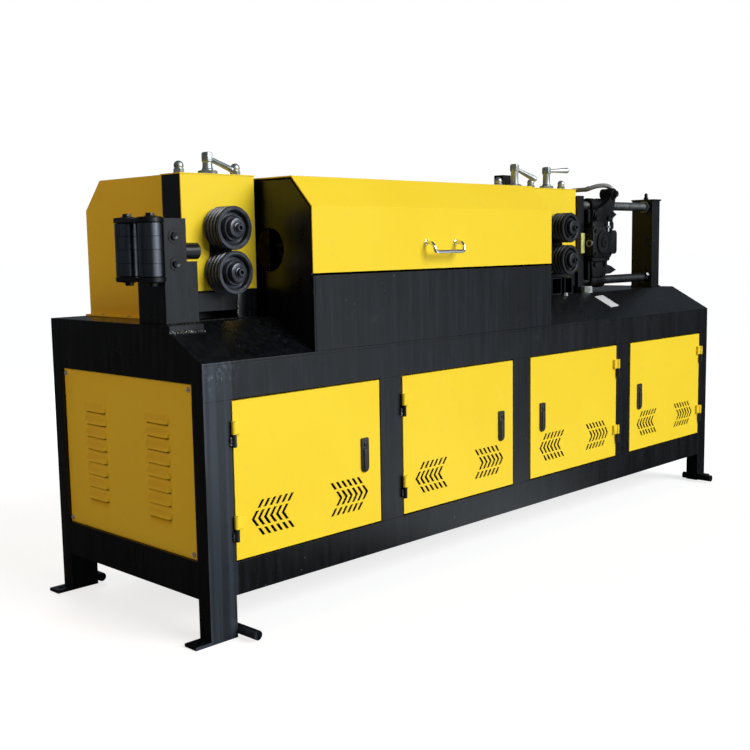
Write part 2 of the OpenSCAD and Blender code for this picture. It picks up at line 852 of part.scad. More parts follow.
module hood_handle() {
    mid = hood_x + hood_l * handle_share;
    end_h = seam_h + handle_rise;
    slope = atan2(handle_drop, handle_reach);
    end_x = handle_w / 2 - handle_r;
    color(zinc)
        in_frame()
            difference() {
                union() {
                    rod_x(mid - end_x, mid + end_x, -handle_reach, end_h - handle_drop, handle_r);
                    for (s = [-1, 1])
                        translate([mid + s * end_x, -handle_reach, end_h - handle_drop]) {
                            sphere(handle_r + handle_bulge);
                            rotate([slope - 90, 0, 0])
                                cylinder(h = norm([handle_reach, handle_drop]) + handle_r, r = handle_r);
                        }
                }
                block(mid - handle_w, mid + handle_w, 0, handle_reach, seam_h, hood_top);
            }
}

module straightening_drum() {
    x0 = hood_x + hood_end_t + bearing_off;
    l = hood_l - 2 * (hood_end_t + bearing_off);
    a = bearing_l + drum_side_gap;
    body = l - 2 * a;
    step = body / window_count;
    window_l = step * window_share;
    color(steel)
        in_frame()
            difference() {
                translate([x0, bar_y, bar_h])
                    rotate([0, 90, 0])
                        rotate_extrude()
                            polygon([[drum_bore_r, 0], [drum_shaft_r, 0], [drum_shaft_r, a], [drum_r, a],
                                [drum_r, a + body], [drum_shaft_r, a + body], [drum_shaft_r, l],
                                [drum_bore_r, l]]);
                for (i = [0 : window_count - 1]) {
                    x = x0 + a + (i + 1 / 2) * step;
                    block(x - window_l / 2, x + window_l / 2, bar_y - drum_r - cut, bar_y + drum_r + cut,
                        bar_h - window_h / 2, bar_h + window_h / 2);
                }
            }
}

module drum_bearings() {
    low = bar_y - bearing_half_w;
    high = bar_y + bearing_half_w;
    near = hood_x + hood_end_t + bearing_off;
    far = hood_x + hood_l - hood_end_t - bearing_off - bearing_l;
    color(black)
        in_frame()
            for (x = [near, far])
                difference() {
                    along_x(x, bearing_l)
                        polygon([[low, deck_z(low)], [bevel_d, deck_h], [high, deck_h],
                            [high, bar_h + bearing_half_w], [low, bar_h + bearing_half_w]]);
                    rod_x(x - cut, x + bearing_l + cut, bar_y, bar_h, drum_shaft_r + running_fit);
                }
}

// Drives

roller_heights = [bar_h - roller_step / 2, bar_h + roller_step / 2];

module gearbox(x, w, rollers) {
    beam_top = deck_h + face_rise - beam_gap;
    color(black)
        in_frame()
            difference() {
                union() {
                    block(x, x + w, gearbox_y, gearbox_back, beam_top, drive_top);
                    for (x0 = [x, x + w - stand_leg_w])
                        block(x0, x0 + stand_leg_w, gearbox_y, gearbox_back, deck_h, drive_top);
                    block(x, x + w, face_y, face_y + beam_d, beam_top - beam_h, beam_top);
                }
                for (rx = rollers) {
                    for (z = roller_heights)
                        rod_y(rx, gearbox_y - cut, gearbox_y + shaft_seat_d, z, roller_shaft_r + running_fit);
                    rod_z(rx, crank_y, drive_top - crank_seat_d, drive_top + cut, crank_post_r + running_fit);
                }
            }
}

module infeed_gearbox() { gearbox(infeed_x, infeed_w, [infeed_mid]); }
module outfeed_gearbox() { gearbox(outfeed_x, outfeed_w, outfeed_rollers); }

module face_plate(x, w, rollers) {
    difference() {
        block(x, x + w, face_y, gearbox_y, deck_h + face_rise, drive_top);
        for (rx = rollers, z = roller_heights)
            rod_y(rx, face_y - cut, gearbox_y + cut, z, roller_shaft_r + roller_gap);
    }
}

module face_plates() {
    color(yellow)
        in_frame() {
            face_plate(infeed_x, infeed_w, [infeed_mid]);
            face_plate(outfeed_x, outfeed_w, outfeed_rollers);
        }
}

module drive_housing(x, w) {
    slope_h = hood_top_rise - hood_fold_rise;
    along_x(x + flange_w, w - flange_w)
        polygon([[gearbox_back, deck_h], [hood_back, deck_h], [hood_back, drive_top - slope_h],
            [hood_back - hood_chamfer_d, drive_top], [gearbox_back, drive_top]]);
    block(x, x + w, gearbox_back, hood_back + flange_w, deck_h, deck_h + flange_t);
}

module drive_housings() {
    color(yellow)
        in_frame() {
            drive_housing(infeed_x, infeed_w);
            drive_housing(outfeed_x, outfeed_w);
        }
}

module hydraulic_block() {
    color(black)
        in_frame()
            translate([outfeed_rollers[0] + hydraulic_x_off, gearbox_back + hydraulic_gap, drive_top])
                cube([hydraulic_w, hydraulic_d, hydraulic_h]);
}

module feed_roller(x, z) {
    back = roller_gap + face_t + shaft_seat_d - end_play;
    floor = roller_w - recess_d;
    step = roller_w / groove_count;
    grooves = [for (i = [0 : groove_count - 1])
        each [[roller_r, (i + 1 / 2) * step - groove_w / 2], [roller_r - groove_d, (i + 1 / 2) * step],
            [roller_r, (i + 1 / 2) * step + groove_w / 2]]];
    color(steel)
        in_frame()
            translate([x, roller_back, z])
                rotate([90, 0, 0]) {
                    rotate_extrude()
                        polygon(concat([[0, -back], [roller_shaft_r, -back], [roller_shaft_r, 0],
                            [roller_r, 0]], grooves, [[roller_r, roller_w], [rim_r, roller_w],
                            [rim_r, floor], [hub_r, floor], [hub_r, floor + hub_h], [0, floor + hub_h]]));
                    translate([0, 0, floor])
                        cylinder(h = hub_h + hub_bolt_h, r = hub_bolt_r, $fn = hex_sides);
                }
}

module infeed_roller_upper() { feed_roller(infeed_mid, roller_heights[1]); }
module infeed_roller_lower() { feed_roller(infeed_mid, roller_heights[0]); }
module outfeed_roller_1_upper() { feed_roller(outfeed_rollers[0], roller_heights[1]); }
module outfeed_roller_1_lower() { feed_roller(outfeed_rollers[0], roller_heights[0]); }
module outfeed_roller_2_upper() { feed_roller(outfeed_rollers[1], roller_heights[1]); }
module outfeed_roller_2_lower() { feed_roller(outfeed_rollers[1], roller_heights[0]); }

// A clamp crank: turn is the lever's heading and dip its slope below level
module crank(x, ball_h, turn, dip) {
    color(zinc)
        in_frame()
            translate([x, crank_y, drive_top]) {
                translate([0, 0, end_play - crank_seat_d])
                    cylinder(h = crank_seat_d - end_play + ball_h, r = crank_post_r);
                translate([0, 0, ball_h]) {
                    sphere(crank_ball_r);
                    rotate([0, 90 + dip, turn]) {
                        cylinder(h = crank_reach - lever_r, r = lever_r);
                        translate([0, 0, crank_reach - lever_r])
                            sphere(lever_r);
                    }
                }
            }
}

module infeed_crank() { crank(infeed_mid, infeed_crank_h, crank_turn, infeed_dip); }
module outfeed_crank_1() { crank(outfeed_rollers[0], outfeed_crank_h, crank_turn, outfeed_dip); }
module outfeed_crank_2() { crank(outfeed_rollers[1], outfeed_crank_h, last_turn, last_dip); }

module crank_nut(x) {
    translate([x, crank_y, drive_top])
        difference() {
            cylinder(h = crank_nut_h, r = crank_nut_r, $fn = hex_sides);
            translate([0, 0, -cut])
                cylinder(h = crank_nut_h + 2 * cut, r = crank_post_r + running_fit);
        }
}

module cap_nut(x) {
    translate([x, crank_y, drive_top]) {
        cylinder(h = cap_nut_h, r = cap_nut_r, $fn = hex_sides);
        translate([0, 0, cap_nut_h])
            sphere(cap_dome_r);
    }
}

module crank_nuts() {
    color(zinc)
        in_frame()
            for (x = concat([infeed_mid], outfeed_rollers))
                crank_nut(x);
}

module cap_nuts() {
    color(zinc)
        in_frame()
            for (x = [infeed_mid - cap_nut_off, infeed_mid + cap_nut_off, outfeed_rollers[0] - cap_nut_off,
                outfeed_mid, outfeed_rollers[1] + cap_nut_off])
                cap_nut(x);
}

// Infeed guide

module guide_bracket() {
    top = deck_h + bracket_rise;
    step = deck_h + bracket_step_rise;
    face = bracket_y + bracket_t;
    color(black)
        in_frame()
            difference() {
                union() {
                    along_x(bracket_x, bracket_top_w)
                        polygon([[bracket_y, deck_z(bracket_y)], [face, deck_z(face)], [face, top],
                            [bracket_y, top]]);
                    along_x(bracket_x, bracket_foot_w)
                        polygon([[bracket_y, deck_z(bracket_y)], [face, deck_z(face)], [face, step],
                            [bracket_y, step]]);
                    along_x(bracket_x, bracket_t)
                        polygon([[bracket_y, deck_z(bracket_y)], [bevel_d, deck_h],
                            [bracket_y + bracket_d, deck_h], [bracket_y + bracket_d, top], [bracket_y, top]]);
                }
                rod_x(bracket_x - cut, bracket_x + bracket_t + cut, bar_y, bar_h, inlet_r);
            }
}

module inlet_tube() {
    color(black)
        in_frame()
            difference() {
                rod_x(bracket_x, bracket_x + inlet_l, bar_y, bar_h, inlet_r);
                rod_x(bracket_x - cut, bracket_x + inlet_l + cut, bar_y, bar_h, inlet_bore_r);
            }
}

module guide_frame() {
    edge = guide_x - guide_bar_edge;
    color(black)
        in_frame() {
            for (z = [guide_low - end_play - guide_bar_t, guide_high + end_play])
                block(edge, bracket_x, bar_y - guide_roller_step / 2 - guide_bar_edge,
                    bracket_y + bracket_d, z, z + guide_bar_t);
            for (s = [-1, 1])
                rod_z(guide_x, bar_y + s * guide_roller_step / 2, guide_low - end_play - guide_bar_t,
                    guide_high + end_play + guide_bar_t, guide_axle_r);
        }
}

module guide_roller(side) {
    color(steel)
        in_frame()
            translate([guide_x, bar_y + side * guide_roller_step / 2, guide_low])
                difference() {
                    cylinder(h = guide_roller_l, r = guide_roller_r);
                    translate([0, 0, -cut])
                        cylinder(h = guide_roller_l + 2 * cut, r = guide_axle_r + running_fit);
                }
}

module guide_roller_near() { guide_roller(-1); }
module guide_roller_far() { guide_roller(1); }

// Cutter

module rod_plate() {
    color(black)
        in_frame()
            difference() {
                block(rod_plate_x, rod_plate_x + rod_plate_t, rod_plate_y, rod_plate_y + rod_plate_d, deck_h,
                    deck_h + rod_plate_rise);
                for (z = rod_heights)
                    rod_x(rod_plate_x - cut, rod_plate_x + rod_plate_t + cut, rod_y, z, rod_r + running_fit);
            }
}

module guide_rods() {
    color(steel)
        in_frame()
            for (z = rod_heights)
                rod_x(rod_plate_x, end_post_x, rod_y, z, rod_r);
}

module end_post() {
    top = deck_h + end_post_rise;
    y1 = end_post_y + end_post_d;
    color(black)
        in_frame() {
            block(end_post_x, end_post_x + end_post_t, end_post_y, y1, deck_h, top);
            for (y = [end_post_y, y1 - end_post_t])
                block(end_post_x, end_post_x + end_post_w, y, y + end_post_t, deck_h, top);
            for (z = [deck_h, top - end_post_cap_t])
                block(end_post_x, end_post_x + end_post_w + end_post_lip, end_post_y - end_post_lip,
                    y1 + end_post_lip, z, z + end_post_cap_t);
            rod_z(end_post_x + end_post_w / 2, end_post_y + end_post_d / 2, top - end_post_cap_t,
                top + post_bolt_h, post_bolt_r);
        }
}

module cutter_head() {
    clamp_r = rod_r + clamp_wall;
    x1 = cutter_x + cutter_l;
    fitting_y = rod_y + knuckle_l / 2;
    color(black)
        in_frame()
            difference() {
                union() {
                    block(cutter_x, x1, cutter_y, cutter_y + cutter_d, bar_h - cutter_h / 2,
                        bar_h + cutter_h / 2);
                    block(x1, x1 + cutter_flange_l, cutter_y + cover_t, cutter_y + cutter_d - cover_t,
                        bar_h - cutter_flange_h / 2, bar_h + cutter_flange_h / 2);
                    block(clamp_x, clamp_x + clamp_l, rod_y - clamp_r, rod_y + clamp_r, rod_heights[0],
                        rod_heights[1]);
                    for (z = rod_heights)
                        rod_x(clamp_x, clamp_x + clamp_l, rod_y, z, clamp_r);
                    translate([0, rod_y + knuckle_l / 2, 0])
                        rotate([90, 0, 0])
                            linear_extrude(knuckle_l)
                                polygon([[clamp_x, rod_heights[1]], [clamp_x + clamp_l, rod_heights[1]],
                                    [knuckle_x + knuckle_r, knuckle_h], [knuckle_x - knuckle_r, knuckle_h]]);
                    rod_y(knuckle_x, fitting_y - knuckle_l, fitting_y, knuckle_h, knuckle_r);
                    translate([knuckle_x, fitting_y + fitting_l, knuckle_h])
                        rotate([90, 0, 0])
                            cylinder(h = fitting_l + weld, r = fitting_r, $fn = hex_sides);
                }
                for (z = rod_heights)
                    rod_x(cutter_x - cut, x1 + cut, rod_y, z, rod_r + running_fit);
                rod_x(cutter_x - cut, x1 + cutter_flange_l + cut, bar_y, bar_h, cutter_bore_r);
            }
}

module cutter_cover() {
    color(black)
        in_frame()
            rod_y(cutter_x + cutter_l / 2, cutter_y - cover_t, cutter_y, bar_h, cover_r);
}

// One ring of the hose's outline around a point of its route
function ring(i) = let (
    last = len(hose_route) - 1,
    ahead = unit(hose_route[min(i + 1, last)] - hose_route[max(i - 1, 0)]),
    across = unit(cross(ahead, [1, 0, 0])),
    up = cross(across, ahead))
    [for (k = [0 : hose_sides - 1])
        hose_route[i] + hose_r * (cos(360 * k / hose_sides) * across + sin(360 * k / hose_sides) * up)];

module cutter_hose() {
    rings = len(hose_route);
    points = [for (i = [0 : rings - 1]) each ring(i)];
    start_cap = [[for (k = [0 : hose_sides - 1]) k]];
    end_cap = [[for (k = [hose_sides - 1 : -1 : 0]) (rings - 1) * hose_sides + k]];
    sides = [for (i = [0 : rings - 2], k = [0 : hose_sides - 1])
        let (n = (k + 1) % hose_sides)
            [i * hose_sides + k, (i + 1) * hose_sides + k, (i + 1) * hose_sides + n, i * hose_sides + n]];
    color(black)
        in_frame()
            polyhedron(points, concat(start_cap, sides, end_cap));
}

module hose_fitting() {
    color(zinc)
        in_frame()
            translate([hose_end[0], hose_end[1], deck_h]) {
                cylinder(h = fitting_l, r = fitting_r, $fn = hex_sides);
                cylinder(h = hose_end[2] - deck_h, r = hose_r + weld);
            }
}

legs();
bottom_rails();
top_rails();
door_posts();
deck_plate();
end_plates();
floor_pan();
end_panels();
rear_panels();
door_1();
door_2();
door_3();
door_4();
door_latch_1();
door_latch_2();
door_latch_3();
door_latch_4();
door_hinges();
hood_end_plates();
hood_base();
hood_rear_cover();
hood_cover();
hood_handle();
hood_hinges();
straightening_drum();
drum_bearings();
infeed_gearbox();
outfeed_gearbox();
face_plates();
drive_housings();
hydraulic_block();
infeed_roller_upper();
infeed_roller_lower();
outfeed_roller_1_upper();
outfeed_roller_1_lower();
outfeed_roller_2_upper();
outfeed_roller_2_lower();
infeed_crank();
outfeed_crank_1();
outfeed_crank_2();
crank_nuts();
cap_nuts();
guide_bracket();
inlet_tube();
guide_frame();
guide_roller_near();
guide_roller_far();
rod_plate();
guide_rods();
end_post();
cutter_head();
cutter_cover();
cutter_hose();
hose_fitting();
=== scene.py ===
# %% [markdown]
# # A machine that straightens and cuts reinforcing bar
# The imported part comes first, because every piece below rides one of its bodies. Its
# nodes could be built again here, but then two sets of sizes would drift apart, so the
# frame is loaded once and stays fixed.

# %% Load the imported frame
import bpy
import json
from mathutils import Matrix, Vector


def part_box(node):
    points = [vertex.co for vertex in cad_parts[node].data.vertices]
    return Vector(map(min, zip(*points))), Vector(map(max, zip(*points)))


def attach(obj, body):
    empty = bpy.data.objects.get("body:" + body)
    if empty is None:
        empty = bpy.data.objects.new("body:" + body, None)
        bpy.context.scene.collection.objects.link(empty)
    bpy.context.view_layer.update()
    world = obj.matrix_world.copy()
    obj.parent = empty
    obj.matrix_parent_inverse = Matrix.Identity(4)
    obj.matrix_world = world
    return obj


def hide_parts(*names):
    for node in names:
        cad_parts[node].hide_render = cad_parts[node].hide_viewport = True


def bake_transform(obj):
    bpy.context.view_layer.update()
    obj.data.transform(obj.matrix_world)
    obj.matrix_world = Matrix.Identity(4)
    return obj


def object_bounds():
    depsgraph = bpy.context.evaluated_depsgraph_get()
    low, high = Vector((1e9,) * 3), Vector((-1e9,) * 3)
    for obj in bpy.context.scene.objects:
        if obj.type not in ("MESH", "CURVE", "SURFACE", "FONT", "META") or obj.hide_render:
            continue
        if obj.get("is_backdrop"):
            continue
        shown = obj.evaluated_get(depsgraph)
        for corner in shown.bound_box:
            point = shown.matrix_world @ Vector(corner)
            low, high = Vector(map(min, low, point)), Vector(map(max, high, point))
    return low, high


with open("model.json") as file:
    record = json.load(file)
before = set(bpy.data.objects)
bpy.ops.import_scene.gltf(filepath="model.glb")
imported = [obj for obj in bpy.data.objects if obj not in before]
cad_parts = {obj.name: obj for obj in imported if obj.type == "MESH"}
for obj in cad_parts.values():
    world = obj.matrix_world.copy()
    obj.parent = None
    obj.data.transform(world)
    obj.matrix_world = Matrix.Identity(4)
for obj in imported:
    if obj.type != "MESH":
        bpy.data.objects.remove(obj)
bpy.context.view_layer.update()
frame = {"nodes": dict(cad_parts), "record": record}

# %% [markdown]
# ## Camera
# The photograph was taken from the front left, with the eye a little below the hood's
# top. A camera could be aimed with a constraint, but its place and its three axes were
# fitted to the cabinet's corners together, so they are written straight into its matrix.

# %% Camera fitted to the cabinet's corners
import bpy
import numpy as np
from mathutils import Matrix, Vector

eye = (-2.66737, -2.32383, 0.93182)
right_axis = (0.69827, -0.71565, -0.01618)
up_axis = (0.0975, 0.0727, 0.9926)
back_axis = (-0.70916, -0.69466, 0.12056)
camera = bpy.data.objects.new("camera", bpy.data.cameras.new("camera"))
camera.data.sensor_width = 36
camera.data.lens = 51.76
columns = np.array([right_axis, up_axis, back_axis, eye]).T
camera.matrix_world = Matrix([*columns.tolist(), [0, 0, 0, 1]])
bpy.context.scene.collection.objects.link(camera)
bpy.context.scene.camera = camera
print("camera: lens", camera.data.lens, "mm at", eye)

# %% [markdown]
# ## Sums of sockets
# A finish is a small web of nodes. It could be drawn by hand in the shader editor, but a
# page of links is hard to read back. Here one class wraps a socket, so that a sum such as
# `1 - dust * 0.4` adds its own Math nodes, and one method makes every other kind of node.

# %% A wire that can be added and multiplied
class Wire:
    """One output socket of a material; sums of wires become Math nodes."""

    def __init__(self, socket):
        self.socket = socket

    def node(self, kind, settings, sockets, out=0):
        """Adds a node of a kind: settings first, then a number, colour or wire for each socket."""
        tree = self.socket.id_data
        made = tree.nodes.new("ShaderNode" + kind)
        for name, value in settings.items():
            setattr(made, name, value)
        for name, value in sockets.items():
            if isinstance(value, Wire):
                tree.links.new(value.socket, made.inputs[name])
            else:
                made.inputs[name].default_value = value
        return Wire(made.outputs[out])

    def maths(self, operation, first, second):
        """One Math node for an operation on two numbers or wires."""
        return self.node("Math", {"operation": operation}, {0: first, 1: second})

    def __add__(self, other):
        return self.maths("ADD", self, other)

    def __radd__(self, other):
        return self.maths("ADD", other, self)

    def __sub__(self, other):
        return self.maths("SUBTRACT", self, other)

    def __rsub__(self, other):
        return self.maths("SUBTRACT", other, self)

    def __mul__(self, other):
        return self.maths("MULTIPLY", self, other)

    def __rmul__(self, other):
        return self.maths("MULTIPLY", other, self)

    def most(self, other):
        """The larger of the two."""
        return self.maths("MAXIMUM", self, other)

    def zigzag(self):
        """Rises from 0 to 1 and falls back to 0 over every two units."""
        return self.maths("PINGPONG", self, 1.0)

    def between(self, low, high):
        """0 below low, 1 above high and an eased slope from one to the other."""
        ease = {"interpolation_type": "SMOOTHSTEP"}
        return self.node("MapRange", ease, {"Value": self, "From Min": low, "From Max": high})


# %% [markdown]
# ## Patterns that finishes share
# Paint, plating and bare steel differ in scale and strength more than in kind. Each one
# could carry its own copy of the noise nodes, but a few short helpers read better: cloudy
# noise, scattered cells, vector sums, a mix of two colours and a bump.

# %% Noise, cells, vectors, mix and bump
def noise(place, scale, detail=3.0, rough=0.55):
    """Cloudy values around 0.5; the scale is the number of clouds in a metre."""
    sockets = {"Vector": place, "Scale": scale, "Detail": detail, "Roughness": rough}
    return place.node("TexNoise", {}, sockets)


def cells(place, scale):
    """Distance to the nearest of many scattered points, in steps of the scale."""
    return place.node("TexVoronoi", {}, {"Vector": place, "Scale": scale})


def vector(place, operation, other, out=0):
    """One Vector Math node; out names its socket where the answer is a number."""
    return place.node("VectorMath", {"operation": operation}, {0: place, 1: other}, out)


def streaky(place, factors, detail=3.0, rough=0.55):
    """Noise with its own scale along each axis."""
    return noise(vector(place, "MULTIPLY", factors), 1.0, detail, rough)


def part_of(place, axis):
    """One of the three numbers of a place."""
    return place.node("SeparateXYZ", {}, {0: place}, out="XYZ".index(axis))


def mixed(mask, colour, other):
    """Colour where the mask is 0 and the other colour where it is 1."""
    pick = [c if isinstance(c, Wire) else (*c, 1) for c in (colour, other)]
    return mask.node("Mix", {"data_type": "RGBA"}, {0: mask, 6: pick[0], 7: pick[1]}, out=2)


def bump(height, distance, strength=1.0):
    """Tilts the light's view of a surface as if it rose by height * distance."""
    return height.node("Bump", {}, {"Height": height, "Distance": distance, "Strength": strength})


# %% A finish from a recipe
finishes = {}


def add_finish(slot, recipe, constants):
    """Makes one material: constants go on the shader's own sockets, and the recipe's wires are linked."""
    material = bpy.data.materials.new(slot)
    material.use_nodes = True
    tree = material.node_tree
    shader = tree.nodes["Principled BSDF"]
    where = tree.nodes.new("ShaderNodeTexCoord")
    for name, value in constants.items():
        shader.inputs[name].default_value = value
    for name, wire in recipe(Wire(where.outputs["Object"]), Wire(where.outputs["UV"])).items():
        tree.links.new(wire.socket, shader.inputs[name])
    finishes[slot] = material
    print("finish:", slot, "with", len(tree.nodes), "nodes")


# %% [markdown]
# ## Yellow gloss paint
# The covers, doors and panels are sprayed with a thick gloss enamel. One flat colour would
# look like plastic, so the shade drifts slowly over a panel, the coat has the fine dimples
# that spraying leaves, and a little workshop dust dulls it in patches.

# %% Yellow paint
def yellow_paint(place, uv):
    """Two near yellows by slow noise, dulled by dust and specked; fine noise dimples the coat."""
    drift = noise(place, 2.2)
    peel = noise(place, 330.0, 2.0)
    dust = noise(place, 26.0, 6.0, 0.7).between(0.56, 0.8)
    specks = (1 - cells(place, 95.0).between(0.03, 0.075)) * noise(place, 9.0).between(0.55, 0.7)
    shade = mixed(drift.between(0.3, 0.7), (0.94, 0.665, 0.026), (0.96, 0.705, 0.034))
    dusty = mixed(dust * 0.16, shade, (0.62, 0.5, 0.24))
    return {
        "Base Color": mixed(specks * 0.45, dusty, (0.2, 0.13, 0.03)),
        "Roughness": 0.27 + dust * 0.2 + drift * 0.06,
        "Normal": bump(peel + drift * 2.0, 0.0003, 0.22)}


add_finish("yellow_paint", yellow_paint, {"Specular IOR Level": 0.26})

# %% [markdown]
# ## Black frame paint
# The welded frame is painted black over mill scale and grinding marks. They show through as
# faint upright streaks, and weld spatter and dust sit on top as pale grains. On the near leg's
# front the streaks are lightened into bands, a painted sheen over its drawn marks, a lighter
# strip runs along its outer edge, and the corner has scrapes from knocks. All this could be a
# painted picture, but noise and masks by place need none and stay sharp from close by. Streaks
# are noise squeezed in two directions, and grains are the middles of scattered cells.

# %% Black paint
cabinet_front, cabinet_end = 0.335, 1.2
knocked_corner = (-1.165, -cabinet_front, 0.655)


def black_paint(place, uv):
    """Near black by streaks, then dust, painted sheen in bands on the near leg's front, a lighter edge
    strip, scrapes and pale grains.
    """
    mottle = noise(place, 7.0, 5.0)
    streaks = streaky(place, (70.0, 70.0, 4.0))
    dust = noise(place, 18.0, 7.0, 0.72).between(0.55, 0.8)
    grains = (1 - cells(place, 62.0).between(0.05, 0.1)) * noise(place, 5.0).between(0.56, 0.68)
    peel = noise(place, 240.0, 2.0)
    deep = mixed(streaks.between(0.35, 0.75), (0.0016, 0.0018, 0.0024), (0.0062, 0.0075, 0.0105))
    dusty = mixed(dust * 0.3, deep, (0.018, 0.02, 0.024))
    forwards, leftwards = 0 - part_of(place, "Y"), 0 - part_of(place, "X")
    front_face = forwards.between(cabinet_front - 0.0015, cabinet_front - 0.0005)
    left_leg = leftwards.between(cabinet_end - 0.088, cabinet_end - 0.082) * front_face
    # Painted sheen: the near leg's front face is lightened in streaky bands over its drawn marks.
    sheen_bands = streaky(place, (42.0, 42.0, 0.45), 3.0, 0.6).between(0.4, 0.66)
    sheen_banded = mixed((0.4 + sheen_bands * 0.5) * left_leg, dusty, (0.036, 0.046, 0.062))
    # A lighter strip along the near leg's outer edge, streaked by noise.
    corner_edge = leftwards.between(cabinet_end - 0.0075, cabinet_end - 0.0025) * front_face
    edge_streaks = streaky(place, (20.0, 20.0, 3.0)).between(0.3, 0.55)
    edge_lightened = mixed(corner_edge * edge_streaks, sheen_banded, (0.042, 0.05, 0.064))
    scrapes = streaky(place, (120.0, 120.0, 48.0), 8.0, 0.75).between(0.5, 0.68)
    near_knock = 1 - vector(place, "DISTANCE", knocked_corner, "Value").between(0.015, 0.09)
    scraped = mixed(scrapes * near_knock * front_face * 0.75, edge_lightened, (0.13, 0.15, 0.19))
    return {
        "Base Color": mixed(grains * 0.8, scraped, (0.2, 0.2, 0.195)),
        "Roughness": 0.19 + mottle * 0.14 + dust * 0.16 + streaks * 0.06,
        "Normal": bump(peel * 0.6 + streaks + grains * 3.0, 0.0005, 0.3)}


add_finish("black_paint", black_paint, {"Specular IOR Level": 0.4})

# %% [markdown]
# ## Black castings and raw welds
# The cutter head and other castings came out of sand moulds, so their skin is grainy under
# the paint, and oil has darkened it in places. The grain could be modelled, but at this
# size a bump of two noises does the same for far fewer faces. A weld that nobody painted is
# dark from the heat, with bright drops of spatter, which are cells again.

# %% Cast black and weld bead
def cast_black(place, uv):
    """Two near blacks by lumps, darker and glossier where oil lies; two noises make the sandy skin."""
    sand = noise(place, 260.0, 4.0, 0.65)
    lumps = noise(place, 60.0)
    oil = noise(place, 14.0, 4.0).between(0.45, 0.65)
    base = mixed(lumps.between(0.4, 0.75), (0.0035, 0.0036, 0.004), (0.009, 0.0092, 0.01))
    return {
        "Base Color": mixed(oil * 0.6, base, (0.0025, 0.0025, 0.003)),
        "Roughness": 0.42 - oil * 0.16 + sand * 0.1,
        "Normal": bump(sand + lumps * 2.0, 0.0008, 0.55)}


def weld_bead_skin(place, uv):
    """Heat-dark metal by noise, with bright drops at the middles of some cells."""
    spatter = cells(place, 210.0)
    bright = (1 - spatter.between(0.26, 0.38)) * noise(place, 40.0).between(0.45, 0.54)
    heat = noise(place, 70.0, 4.0)
    base = mixed(heat.between(0.35, 0.7), (0.012, 0.013, 0.015), (0.05, 0.05, 0.05))
    return {
        "Base Color": mixed(bright, base, (0.72, 0.72, 0.7)),
        "Roughness": 0.42 + heat * 0.2,
        "Normal": bump(heat + spatter, 0.0006, 0.5)}


add_finish("cast_black", cast_black, {"Specular IOR Level": 0.15})
add_finish("weld_bead", weld_bead_skin, {"Specular IOR Level": 0.5})

# %% [markdown]
# ## Plated and bare steel
# Nuts and cranks are zinc plated, the handle is chromed, the feed rollers are turned steel
# that has blackened with oil, and the guide rods are ground bars with a film of dust. On
# turned pieces the marks follow the surface, so they read its UV map instead of its place.
# Rollers at the outfeed and the lower rod are darker, as painted shade that a mask by place gives them.

# %% Zinc and chrome
def zinc(place, uv):
    """Two greys by a haze of noise; fine crystals roughen it and bump it."""
    crystals = noise(place, 130.0)
    haze = noise(place, 30.0, 4.0).between(0.4, 0.7)
    return {
        "Base Color": mixed(haze, (0.5, 0.53, 0.52), (0.37, 0.38, 0.35)),
        "Roughness": 0.34 + crystals * 0.12 + haze * 0.1,
        "Normal": bump(crystals, 0.0002, 0.25)}


def chrome(place, uv):
    """A near white that smears of noise make duller and rougher."""
    smear = noise(place, 45.0, 4.0).between(0.45, 0.75)
    return {
        "Base Color": mixed(smear, (0.86, 0.86, 0.87), (0.7, 0.68, 0.64)),
        "Roughness": 0.1 + smear * 0.16,
        "Normal": bump(noise(place, 300.0), 0.0001, 0.1)}


bare = {"Metallic": 1.0}
add_finish("zinc", zinc, bare)
add_finish("screw_zinc", zinc, {"Metallic": 0.25})
add_finish("chrome", chrome, bare)


# %% Turned, ground and bearing steel
def turned_steel(place, uv):
    """Dark steel by oily noise, with painted shade darker still at the outfeed end; UV noise gives fine
    lines around.
    """
    lines = streaky(uv, (2.0, 900.0, 1.0))
    oil = noise(place, 40.0, 4.0).between(0.4, 0.68)
    oily = mixed(oil, (0.062, 0.067, 0.078), (0.03, 0.032, 0.038))
    # Painted shade: the outfeed rollers sit in the hood's shade, so a mask by x darkens their steel and
    # spreads its highlights.
    outfeed_shade = part_of(place, "X").between(0.0, 0.1)
    return {
        "Base Color": mixed(outfeed_shade * 0.75, oily, (0.008, 0.0082, 0.009)),
        "Roughness": 0.22 + lines * 0.1 - oil * 0.04 + outfeed_shade * 0.2,
        "Normal": bump(lines, 0.0002, 0.4)}


def ground_steel(place, uv):
    """Grey steel under a dusty film of noise, and darker low down as painted shade."""
    lines = streaky(place, (300.0, 30.0, 30.0), 4.0)
    film = noise(place, 38.0, 6.0, 0.7).between(0.4, 0.66)
    dusty = mixed(film, (0.3, 0.315, 0.31), (0.12, 0.122, 0.12))
    # Painted shade: steel below a height of 0.83 to 0.9 m, the lower rod and the parts beside it, is
    # darkened.
    low_shade = 1 - part_of(place, "Z").between(0.83, 0.9)
    return {
        "Base Color": mixed(low_shade * (0.62 + film * 0.3), dusty, (0.02, 0.021, 0.023)),
        "Roughness": 0.3 + film * 0.3,
        "Normal": bump(lines + film, 0.0002, 0.3)}


def bearing_steel(place, uv):
    """Two greys by upright smears; UV noise gives fine lines around."""
    lines = streaky(uv, (3.0, 500.0, 1.0))
    smear = streaky(place, (60.0, 60.0, 9.0), 4.0).between(0.4, 0.7)
    return {
        "Base Color": mixed(smear, (0.15, 0.158, 0.178), (0.1, 0.104, 0.115)),
        "Roughness": 0.2 + lines * 0.04 + smear * 0.06,
        "Normal": bump(lines, 0.0001, 0.08)}


